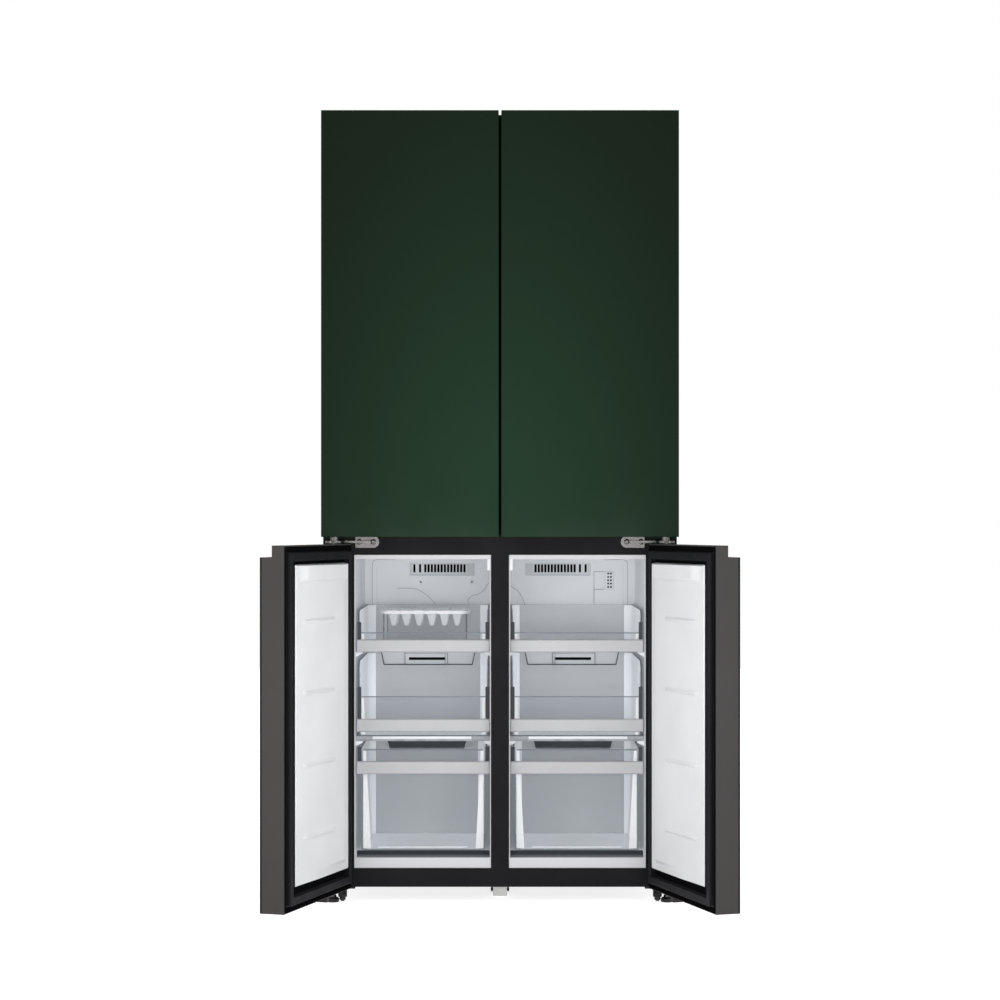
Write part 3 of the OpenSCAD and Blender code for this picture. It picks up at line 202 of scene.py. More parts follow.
@dataclass(frozen=True)
class Finish:
    """An opaque moulded or painted surface: slight mottling, uneven gloss and a fine grain.

    Attributes:
        name: the material's name.
        colour: display colour.
        roughness: middle roughness.
        uneven: how far the roughness wanders.
        mottle: how far the colour wanders, as a share.
        grain: grain cells per metre.
        depth: grain height in metres.
        specular: strength of the reflection.
        metallic: 1 for bare metal.
        coat: clear coat over the colour.
        glow: painted light, given off by the surface itself as emission, standing in for the light
            that comes back from the white walls around after many bounces.
    """

    name: str
    colour: Colour
    roughness: float = 0.4
    uneven: float = 0.06
    mottle: float = 0.03
    grain: float = 900.0
    depth: float = 0.00004
    specular: float = 0.5
    metallic: float = 0.0
    coat: float = 0.0
    glow: float = 0.0

    def colour_of(self, graph: NodeGraph) -> Socket:
        """The mottled colour: soft clouds that are a share darker and lighter.

        Args:
            graph: the material being built.

        Returns:
            The colour socket.
        """
        base = np.array(linear(self.colour))
        low, high = base * (1 - self.mottle), base * (1 + self.mottle)
        low[3] = high[3] = 1.0
        cloud = graph.noise(graph.place(), 9.0, 3.0)
        return graph.blend(graph.spread(cloud, 0.0, 1.0), low.tolist(), np.minimum(high, 1.0).tolist())

    def marks(self, graph: NodeGraph) -> tuple[Socket, Socket]:
        """The noise that the roughness follows, and the one that raises the surface."""
        where = graph.place()
        return graph.noise(where, 14.0, 4.0), graph.noise(where, self.grain)

    def shader(self, graph: NodeGraph) -> Node:
        """The surface shader.

        Args:
            graph: the material being built.

        Returns:
            The shader node.
        """
        patches, height = self.marks(graph)
        return graph.add("BsdfPrincipled", {
            "Base Color": self.colour_of(graph), "Metallic": self.metallic,
            "Roughness": graph.spread(patches, self.roughness - self.uneven, self.roughness + self.uneven),
            "Specular IOR Level": self.specular, "Coat Weight": self.coat, "Coat Roughness": 0.08,
            # Painted light: the glow is emission in the finish's own colour.
            "Emission Color": linear(self.colour), "Emission Strength": self.glow,
            "Normal": graph.bump(height, self.depth)})

    @cache
    def material(self) -> bpy.types.Material:
        """The finished material, built once."""
        graph = NodeGraph(bpy.data.materials.new(self.name))
        return graph.finish(self.shader(graph))


@dataclass(frozen=True)
class BackPaintedGlass(Finish):
    """Toughened glass painted behind, with painted light and shade: its colour is lightest low in
    the middle and darkens towards the top and the sides.

    Attributes:
        deep: display colour where the painted shade is darkest.
        bright: height above the floor of the painted sheen, where it is lightest.
        reach: distance up or down that counts as 1.
        half_width: distance to the side that counts as 1.
        end: distance from the lightest place, counted so, at which it is darkest.
    """

    deep: Colour = (0.1, 0.15, 0.11)
    bright: float = 0.95
    reach: float = 1.0
    half_width: float = 0.5
    end: float = 1.3

    def colour_of(self, graph: NodeGraph) -> Socket:
        """Painted sheen near the middle of the upper doors' lower edge, painted shade further off:
        the distance from that place is measured with X and Z each divided by its own reach.

        Args:
            graph: the material being built.

        Returns:
            The colour socket.
        """
        where = graph.place((1 / self.half_width, 0, 1 / self.reach), (0, 0, -self.bright / self.reach))
        far = graph.add("VectorMath", {0: where}, operation="LENGTH").outputs["Value"]
        factor = graph.span(far, 0.0, self.end, curve="SMOOTHSTEP")
        return graph.blend(factor, linear(self.colour), linear(self.deep))


@dataclass(frozen=True)
class ClearPlastic(Finish):
    """See-through moulded plastic that looks denser where the wall is seen edge on.

    Attributes:
        face: opacity seen square on.
        edge: opacity seen at a glance.
        passed: share of the light that comes through its shadow.
    """

    face: float = 0.35
    edge: float = 0.85
    passed: float = 0.7

    def shader(self, graph: NodeGraph) -> Node:
        """The surface shader with its opacity.

        Args:
            graph: the material being built.

        Returns:
            The shader node.
        """
        shader = super().shader(graph)
        facing = graph.add("LayerWeight", {"Blend": 0.35}).outputs["Facing"]
        shadow = graph.add("LightPath").outputs["Is Shadow Ray"]
        clear = graph.math("MULTIPLY_ADD", shadow, -self.passed, 1.0)
        alpha = graph.math("MULTIPLY", graph.span(facing, 0.0, 1.0, self.face, self.edge), clear)
        graph.tree.links.new(alpha, shader.inputs["Alpha"])
        return shader


@dataclass(frozen=True)
class TwoTone(Finish):
    """A surface with a second colour up to a place along one axis, such as a liner whose front
    lip is greyer than its walls further in, or a painted shadow that is lighter at its foot.

    Attributes:
        second: display colour up to that place.
        stop: where the second colour ends.
        blend: length over which the two pass into each other.
        axis: the axis, X, Y or Z.
        paired: whether the axis is measured both ways from the middle.
    """

    second: Colour = (0.79, 0.79, 0.79)
    stop: float = 0.0
    blend: float = 0.004
    axis: str = "Y"
    paired: bool = False

    def colour_of(self, graph: NodeGraph) -> Socket:
        """The second colour up to its end, then the finish's own mottled one.

        Args:
            graph: the material being built.

        Returns:
            The colour socket.
        """
        along = graph.add("SeparateXYZ", {0: graph.place()}).outputs[self.axis]
        if self.paired:
            along = graph.math("ABSOLUTE", along)
        factor = graph.span(along, self.stop, self.stop + self.blend)
        return graph.blend(factor, linear(self.second), super().colour_of(graph))


@dataclass(frozen=True)
class PlatedSteel(Finish):
    """Zinc-plated or bare metal with rolling marks along one direction.

    Attributes:
        along: stretch of the marks on X, Y and Z.
    """

    metallic: float = 1.0
    along: Point = (1.0, 8.0, 8.0)

    def marks(self, graph: NodeGraph) -> tuple[Socket, Socket]:
        """One noise, drawn out along the rolling direction, for both."""
        drawn = graph.noise(graph.place(self.along), 60.0, 4.0)
        return drawn, drawn


# Painted light and shade on the door glass: lighter low in the middle of the doors, darker towards the top
# and the sides.
DOOR_GLASS = BackPaintedGlass("door_glass", (0.113, 0.196, 0.140), 0.12, 0.03, 0.0, 20.0, 0.00002,
                              specular=0.05, deep=(0.076, 0.119, 0.078))
DOOR_PAINT = Finish("door_paint", (0.248, 0.236, 0.238), 0.55, specular=0.08, grain=1600, depth=0.00003)
CABINET_PAINT = Finish("cabinet_paint", (0.30, 0.30, 0.31), 0.55, 0.02, 0.015, 1200, 0.00004, specular=0.2)
# Black paint of the doors' inner frames, also used as painted shade in the slots and holes of the evaporator
# covers.
INNER_PAINT_AND_HOLE_SHADE = Finish("inner_frame_paint", (0.05, 0.05, 0.055), 0.8, specular=0.0)
FRAME_PAINT = Finish("frame_paint", (0.065, 0.065, 0.075), 0.6, specular=0.1, grain=1400, depth=0.00003)
GALVANISED = PlatedSteel("galvanised_sheet", (0.62, 0.63, 0.64), 0.5, 0.03, mottle=0.05, metallic=0.9)
DARK_STEEL = Finish("dark_steel", (0.12, 0.12, 0.13), 0.45, specular=0.3)
BLACK_ENAMEL = Finish("black_enamel", (0.05, 0.05, 0.06), 0.25, coat=0.4)
ZINC = PlatedSteel("zinc_steel", (0.325, 0.32, 0.315), 0.34, 0.08, depth=0.00002)
FIN_ALUMINIUM = PlatedSteel("fin_aluminium", (0.85, 0.86, 0.87), 0.35)
FOAM = Finish("foam", (0.91, 0.86, 0.70), 0.8, depth=0.0004, grain=300)
WHITE_LINER = Finish("white_liner", (0.925, 0.925, 0.925), 0.36, specular=0.35, grain=1500, depth=0.00003)
# Painted light: this liner glows a little, as if lit by light bounced inside the cabinet.
FRIDGE_LINER = replace(WHITE_LINER, name="fridge_liner", specular=0.3, glow=0.05)
DOOR_LINER = TwoTone("door_liner", (0.852, 0.852, 0.856), specular=0.3, grain=1500, depth=0.00003,
                     stop=0.062, blend=0.012, axis="X", paired=True)
# Painted light: the freezer liner glows a little, to lighten the shaded compartments.
CAVITY_LINER = TwoTone("cavity_liner", (0.85, 0.857, 0.867), specular=0.3, grain=1500, depth=0.00003,
                       glow=0.075, second=(0.76, 0.765, 0.775), stop=FRONT + 0.006)
# Painted shadow: a dark band for the gap under the bottom drawers, lighter at its foot.
PAINTED_SHADOW_BAND = TwoTone("shadow_band", (0.20, 0.215, 0.235), 0.6, specular=0.1, second=(0.56, 0.57, 0.585),
               stop=0.098, blend=0.009, axis="Z")
LAMP_COVER = Finish("lamp_cover", (0.95, 0.95, 0.93), 0.5, specular=0.2, glow=0.3)
WHITE_PLASTIC = Finish("white_plastic", (0.80, 0.81, 0.82), 0.34, specular=0.4)
RAIL_PLASTIC = Finish("rail_plastic", (0.70, 0.70, 0.71), 0.42, specular=0.35, grain=1800)
# Painted light: the pale plastic of the centre roller glows a little.
PALE_PLASTIC = Finish("pale_plastic", (0.93, 0.93, 0.92), 0.5, glow=0.15)
GREY_PLASTIC = Finish("grey_plastic", (0.42, 0.43, 0.44), 0.5)
BLACK_PLASTIC = Finish("black_plastic", (0.07, 0.07, 0.08), 0.5, specular=0.3, depth=0.00008)
RUBBER = Finish("seal_rubber", (0.08, 0.08, 0.09), 0.6, specular=0.1, grain=2500)
SHELF_PLASTIC = Finish("shelf_plastic", (0.62, 0.635, 0.65), 0.5, specular=0.2)
# Painted light: the frosted inner faces of the drawers glow a little.
FROSTED = Finish("frosted_plastic", (0.93, 0.94, 0.95), 0.5, specular=0.2, glow=0.15)
FROSTED_EDGE = Finish("frosted_edge", (0.91, 0.915, 0.925), 0.5, specular=0.2)
RIM = Finish("clear_rim", (0.26, 0.28, 0.30), 0.3, specular=0.2, depth=0.00001)
# Painted highlight: a paler copy of the rim for the bead along the clear front strip.
HIGHLIGHT_RIM = replace(RIM, name="strip_rim", colour=(0.50, 0.53, 0.55))
POST_PLASTIC = Finish("post_plastic", (0.25, 0.26, 0.28), 0.5, specular=0.15)
OUTLET_GREY = Finish("outlet_grey", (0.80, 0.81, 0.825), 0.5, specular=0.2)
# Grey of the return grille, also used for painted shade: the gaps under the shelf's lip and the line round
# the lower outlet's frame.
GRILLE_GREY_AND_SHADE = Finish("grille_grey", (0.45, 0.47, 0.48), 0.6, specular=0.1)
RIDGE = Finish("moulded_ridge", (0.90, 0.91, 0.92), 0.5, specular=0.2)
# Painted shade: dark lines along the moulded edges of the evaporator covers.
EDGE_SHADE = Finish("moulding_seam", (0.54, 0.56, 0.58), 0.6)
# Painted light: the clear plastic of the drawers and crispers glows a little.
CLEAR = ClearPlastic("clear_plastic", (0.56, 0.59, 0.62), 0.2, 0.04, depth=0.00001, specular=0.1,
                     glow=0.2, face=0.12, edge=0.55)
# Painted light: a paler, more see-through copy of the clear plastic, which lightens the ice bin that lies in
# shade.
LIT_CLEAR = replace(CLEAR, name="fine_clear_plastic", colour=(0.76, 0.78, 0.80), face=0.05, edge=0.4)
# Painted light: the hazy plastic glows a little.
HAZY = ClearPlastic("hazy_plastic", (0.835, 0.845, 0.855), 0.4, 0.04, specular=0.1, glow=0.1,
                    face=0.38, edge=0.9)
# Painted light: a copy of the hazy plastic with more glow and less see-through, for the back walls of the
# top drawers, which lie in more shade.
LIT_HAZY = replace(HAZY, name="pale_hazy_plastic", colour=(0.80, 0.81, 0.82), glow=0.15, face=0.45)
# Painted light: the ice tray's plastic glows a little.
TRAY_PLASTIC = ClearPlastic("tray_plastic", (0.86, 0.87, 0.88), glow=0.1, face=0.5)
SHELF_GLASS = ClearPlastic("shelf_glass", (0.82, 0.90, 0.88), 0.06, 0.02, depth=0.00001, face=0.22, edge=0.9)

NODE_FINISHES = {
    "cabinet_shell": CABINET_PAINT, "back_panel": GALVANISED, "front_frame": FRAME_PAINT,
    "insulation": FOAM, "fridge_liner": FRIDGE_LINER, "freezer_liner": CAVITY_LINER,
    "freezer_partition": CAVITY_LINER, "base_plate": DARK_STEEL, "machine_room_cover": GALVANISED,
    "compressor": BLACK_ENAMEL, "condenser": DARK_STEEL, "condenser_fan": BLACK_PLASTIC,
    "evaporator": FIN_ALUMINIUM, "evaporator_fan": WHITE_PLASTIC, "evaporator_cover": CAVITY_LINER,
    "fridge_duct": FRIDGE_LINER, "fridge_shelves": SHELF_GLASS, "freezer_shelves": SHELF_PLASTIC,
    "outer_hinges": DARK_STEEL, "middle_hinges": ZINC, "hinge_covers": BLACK_PLASTIC,
    "crisper_left": CLEAR, "crisper_right": CLEAR, "foot_left": BLACK_PLASTIC,
    "foot_right": BLACK_PLASTIC, "front_wheels": BLACK_PLASTIC, "centre_roller": PALE_PLASTIC,
    "rear_wheels": BLACK_PLASTIC, "ice_bin": LIT_CLEAR, "ice_tray": TRAY_PLASTIC,
}
ENDING_FINISHES = {"panel": DOOR_GLASS, "casing": DOOR_PAINT, "liner": WHITE_LINER, "seal": RUBBER,
                   "bins": CLEAR, "bin": CLEAR, "rail": RAIL_PLASTIC}


def dress_frame() -> None:
    """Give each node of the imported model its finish: by its own name, or by the last word of its
    name for doors and drawers."""
    for name, node in frame["nodes"].items():
        finish = NODE_FINISHES.get(name) or ENDING_FINISHES[name.rsplit("_", 1)[1]]
        node.data.materials.clear()
        node.data.materials.append(finish.material())
    LOG.info("dressed %d nodes", len(frame["nodes"]))


# Surfaces


def arc(centre: Pair, radius: float, start: float, stop: float, steps: int) -> np.ndarray:
    """Points on an arc: the centre plus radius times the cosine and sine of angles in degrees."""
    angle = np.radians(np.linspace(start, stop, steps))
    return np.asarray(centre) + radius * np.column_stack([np.cos(angle), np.sin(angle)])


def spline(points: Sequence[Pair], steps: int = 6) -> np.ndarray:
    """A curve through given points: a Catmull-Rom spline.

    Args:
        points: the points, each with two coordinates.
        steps: stretches between two points.

    Returns:
        An array of points with two columns.
    """
    known = np.asarray(points)
    padded = np.vstack([2 * known[0] - known[1], known, 2 * known[-1] - known[-2]])
    t = np.linspace(0, 1, steps, endpoint=False)[:, None, None]
    p0, p1, p2, p3 = padded[:-3], padded[1:-2], padded[2:-1], padded[3:]
    curve = 0.5 * (2 * p1 + (p2 - p0) * t + (2 * p0 - 5 * p1 + 4 * p2 - p3) * t ** 2
                   + (3 * p1 - p0 - 3 * p2 + p3) * t ** 3)
    return np.vstack([curve.transpose(1, 0, 2).reshape(-1, 2), known[-1:]])


def rounded(low: Pair, high: Pair, radius: float, steps: int = 5) -> np.ndarray:
    """A rectangle with round corners, anticlockwise: one quarter arc at each corner.

    Args:
        low: its lower left corner.
        high: its upper right corner.
        radius: the corners' radius.
        steps: points on each corner.

    Returns:
        An array of points with two columns.
    """
    (x0, y0), (x1, y1), r = low, high, radius
    centres = [(x1 - r, y0 + r, -90), (x1 - r, y1 - r, 0), (x0 + r, y1 - r, 90), (x0 + r, y0 + r, 180)]
    return np.vstack([arc((x, y), r, turn, turn + 90, steps) for x, y, turn in centres])


def bead(width: float, height: float, radius: float) -> np.ndarray:
    """The section of a bead, of half a width and half a height, with round corners."""
    return rounded((-width, -height), (width, height), radius, 3)


def strip(width: float, foot: float, top: float) -> np.ndarray:
    """The section of a thin strip, of half a width, from its foot to its top."""
    return np.array([(-width, foot), (width, foot), (width, top), (-width, top)])


def corners(low: Pair, high: Pair) -> np.ndarray:
    """The corners of a rectangle, clockwise from the lower left one."""
    return np.array([low, (low[0], high[1]), high, (high[0], low[1])])


def lines(*stretches: tuple[float, float, int]) -> np.ndarray:
    """Grid lines over several stretches, each from one place to another in a number of lines."""
    return np.unique(np.concatenate([np.linspace(*stretch) for stretch in stretches]))


def ease(t: np.ndarray) -> np.ndarray:
    """A soft step from 0 to 1 as t goes from 0 to 1: three squares less two cubes."""
    t = np.clip(t, 0.0, 1.0)
    return t * t * (3 - 2 * t)


class Plane(Enum):
    """The plane of a flat outline: which of its two coordinates or its depth, counted 0, 1 and 2,
    becomes X, Y and Z."""

    XZ = (0, 2, 1)
    XY = (0, 1, 2)
    YZ = (2, 0, 1)

    def lift(self, outline: np.ndarray, depth: float) -> np.ndarray:
        """Put flat points into space, at a depth."""
        return np.column_stack([outline, np.full(len(outline), depth)])[:, list(self.value)]

    def normal(self) -> np.ndarray:
        """The direction in which the depth grows."""
        return np.eye(3)[self.value.index(2)]


class Shape:
    """Points and faces of a piece, gathered from several surfaces before they become one mesh.

    Attributes:
        lobes: number of lobes of a screw's recess.
        lobe: how far they swell, as a share of the radius.
        smooth: angle in degrees from which an edge is sharp.
    """

    lobes, lobe, smooth = 6, 0.16, 35.0

    def __init__(self) -> None:
        """Start with nothing."""
        self.points: list[np.ndarray] = []
        self.faces: list[list[int]] = []
        self.count = 0

    def grid(self, rows: np.ndarray, ring: bool = False) -> "Shape":
        """Add a surface from a grid of points whose rows are closed loops: neighbours in both
        directions make a four-sided face, and the first and last rows are filled.

        Args:
            rows: array of rows, columns and three coordinates.
            ring: whether the last row joins the first instead.

        Returns:
            The shape itself.
        """
        n, m = rows.shape[:2]
        number = np.arange(n * m).reshape(n, m) + self.count
        number = np.column_stack([number, number[:, :1]])
        if ring:
            number = np.vstack([number, number[:1]])
        quads = np.stack([number[:-1, :-1], number[:-1, 1:], number[1:, 1:], number[1:, :-1]], axis=-1)
        self.faces += quads.reshape(-1, 4).tolist()
        if not ring:
            self.faces += [number[0, :-1][::-1].tolist(), number[-1, :-1].tolist()]
        self.points.append(rows.reshape(-1, 3))
        self.count += n * m
        return self

    def plate(self, outline: np.ndarray, depths: Pair, edge: float = 0.0,
              plane: Plane = Plane.XZ) -> "Shape":
        """Add a plate: its outline is carried through its depth and drawn in at both faces by a
        round edge, a quarter circle in four steps.

        Args:
            outline: anticlockwise points.
            depths: the two faces.
            edge: radius of the round edge.
            plane: the plane of the outline.

        Returns:
            The shape itself.
        """
        low, high = depths
        if edge == 0.0:
            return self.grid(np.stack([plane.lift(outline, low), plane.lift(outline, high)]))
        turn = np.radians(np.linspace(0, 90, 4))
        inset, rise = edge * (1 - np.sin(turn)), edge * (1 - np.cos(turn))
        levels = zip([*inset, *inset[::-1]], [*(low + rise), *(high - rise[::-1])])
        middle = (outline.min(axis=0) + outline.max(axis=0)) / 2
        half = (outline.max(axis=0) - outline.min(axis=0)) / 2
        return self.grid(np.stack([plane.lift(middle + (outline - middle) * (1 - drawn / half), depth)
                                   for drawn, depth in levels]))

    def tile(self, low: Pair, high: Pair, radius: float, depths: Pair, edge: float = 0.0, steps: int = 5,
             plane: Plane = Plane.XZ) -> "Shape":
        """Add a plate over a rectangle with round corners."""
        return self.plate(rounded(low, high, radius, steps), depths, edge, plane)

    def revolve(self, profile: Sequence[Pair], centre: Point, axis: Point, steps: int = 24,
                lobed: int = 0) -> "Shape":
        """Add a turned form: radius and height along the profile, turned about an axis. On its
        first rows the radius swells and shrinks with the cosine of a multiple of the angle.

        Args:
            profile: rows of radius and height.
            centre: where height is 0.
            axis: direction of the height, as a unit vector.
            steps: points round the axis.
            lobed: number of rows that have lobes.

        Returns:
            The shape itself.
        """
        profile, along = np.asarray(profile), np.asarray(axis, dtype=float)
        across = np.cross(along, (0.0, 0.0, 1.0) if abs(along[2]) < 0.9 else (1.0, 0.0, 0.0))
        across /= np.linalg.norm(across)
        up = np.cross(along, across)
        angle = np.linspace(0, 2 * math.pi, steps, endpoint=False)
        wave = 1 + self.lobe * np.cos(self.lobes * angle) * (np.arange(len(profile)) < lobed)[:, None]
        spokes = np.cos(angle)[:, None] * across + np.sin(angle)[:, None] * up
        radius = (profile[:, 0][:, None] * wave)[..., None]
        return self.grid(np.asarray(centre) + radius * spokes + profile[:, 1][:, None, None] * along)

    def screw(self, where: Point, axis: Point, radius: float, height: float) -> "Shape":
        """Add a pan head with a lobed recess: up the recess, over the crown and down the side.

        Args:
            where: centre of the head's underside.
            axis: direction that the head faces.
            radius: radius of the head.
            height: height of the head.

        Returns:
            The shape itself.
        """
        recess = 0.45
        profile = np.array([(0.0, 0.35), (recess * 0.85, 0.35), (recess, 1.0), (0.75, 0.96), (0.93, 0.72),
                            (1.0, 0.4), (1.0, 0.0), (0.0, 0.0)])
        return self.revolve(profile * (radius, height), where, axis, 30, lobed=3)

    def sweep(self, path: Sequence[Pair], depth: float, profile: np.ndarray, ring: bool = False,
              toward: int = 1, plane: Plane = Plane.XZ) -> "Shape":
        """Add a profile carried along a flat path. At each point the profile stands in the mitre of
        the two neighbouring stretches, widened by one over the cosine of half their angle.

        Args:
            path: points of the path.
            depth: where its plane lies.
            profile: points outward from the path and along the plane's normal.
            ring: whether the path's end joins its start.
            toward: 1 for the plane's own normal, -1 for the opposite one.
            plane: the plane of the path.

        Returns:
            The shape itself.
        """
        path, normal = plane.lift(np.asarray(path), depth), toward * plane.normal()
        steps = np.roll(path, -1, axis=0) - path
        if not ring:
            steps[-1] = steps[-2]
        steps /= np.linalg.norm(steps, axis=1)[:, None]
        before = np.roll(steps, 1, axis=0)
        if not ring:
            before[0] = steps[0]
        mitre = before + steps
        mitre /= np.linalg.norm(mitre, axis=1)[:, None]
        widen = 1 / np.maximum(np.einsum("ij,ij->i", mitre, steps), 0.3)
        out = np.cross(mitre, normal) * widen[:, None]
        return self.grid(path[:, None] + profile[None, :, :1] * out[:, None] + profile[None, :, 1:] * normal,
                         ring)

    def build(self, name: str, finish: Finish, body: str, slot: str,
              move: np.ndarray = np.eye(4)) -> bpy.types.Object:
        """Make the mesh, with its normals outwards, and let it ride on a body.

        Args:
            name: the piece's name.
            finish: its finish.
            body: the body that carries it.
            slot: a material slot's name; not used.
            move: a matrix of four by four for all its points.

        Returns:
            The new object.
        """
        points = np.vstack(self.points) @ move[:3, :3].T + move[:3, 3]
        mesh = bpy.data.meshes.new(name)
        mesh.from_pydata(points.tolist(), [], self.faces)
        work = bmesh.new()
        work.from_mesh(mesh)
        bmesh.ops.remove_doubles(work, verts=work.verts, dist=1e-7)
        bmesh.ops.recalc_face_normals(work, faces=work.faces)
        work.to_mesh(mesh)
        work.free()
        mesh.materials.append(finish.material())
        piece = bpy.data.objects.new(name, mesh)
        bpy.context.scene.collection.objects.link(piece)
        mesh.shade_smooth()
        mesh.set_sharp_from_angle(angle=math.radians(self.smooth))
        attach(piece, body)
        LOG.info("%s: %d points on %s", name, len(points), body)
        return piece


# Sub-assemblies


@dataclass
class HalfAssembly:
    """Pieces that are drawn on the left half, and mirrored for the right one.

    Attributes:
        side: which half.
    """

    side: Side

    def __post_init__(self) -> None:
        """Let the cabinet carry the pieces, where they are drawn or mirrored."""
        self.body = "cabinet"
        self.move = np.diag([-1.0, 1.0, 1.0, 1.0]) if self.side is Side.RIGHT else np.eye(4)

    def box(self, node: str) -> tuple[np.ndarray, np.ndarray]:
        """The corners of a node's box, mirrored to the left half.

        Args:
            node: the node's name.

        Returns:
            Its lowest and its highest corner.
        """
        low, high = (np.array(corner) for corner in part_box(node))
        if self.side is Side.RIGHT:
            low[0], high[0] = -high[0], -low[0]
        return low, high

    def add(self, shape: Shape, what: str, finish: Finish, slot: str) -> bpy.types.Object:
        """Build a piece, and name it after the body that carries it or, on the cabinet, its half.

        Args:
            shape: its surfaces, on the left half.
            what: what it is, for its name.
            finish: its finish.
            slot: its material slot.

        Returns:
            The new object.
        """
        name = f"{what}_{self.side.word}" if self.body == "cabinet" else f"{self.body}_{what}"
        return shape.build(name, finish, self.body, slot, self.move)


def standing_open(side: Side) -> np.ndarray:
    """The turn of a freezer door about its hinge from shut to where it stands at rest.

    Args:
        side: the door's half.

    Returns:
        A matrix of four by four.
    """
    joint = next(j for j in frame["joints"] if j["name"] == f"lower_{side.word}_door_hinge")
    angle = math.radians(-joint["range_deg"][0]) * joint["axis"][2]
    pivot = np.array(joint["pos_m"])
    move = np.eye(4)
    move[:2, :2] = [[math.cos(angle), -math.sin(angle)], [math.sin(angle), math.cos(angle)]]
    move[:3, 3] = pivot - move[:3, :3] @ pivot
    return move


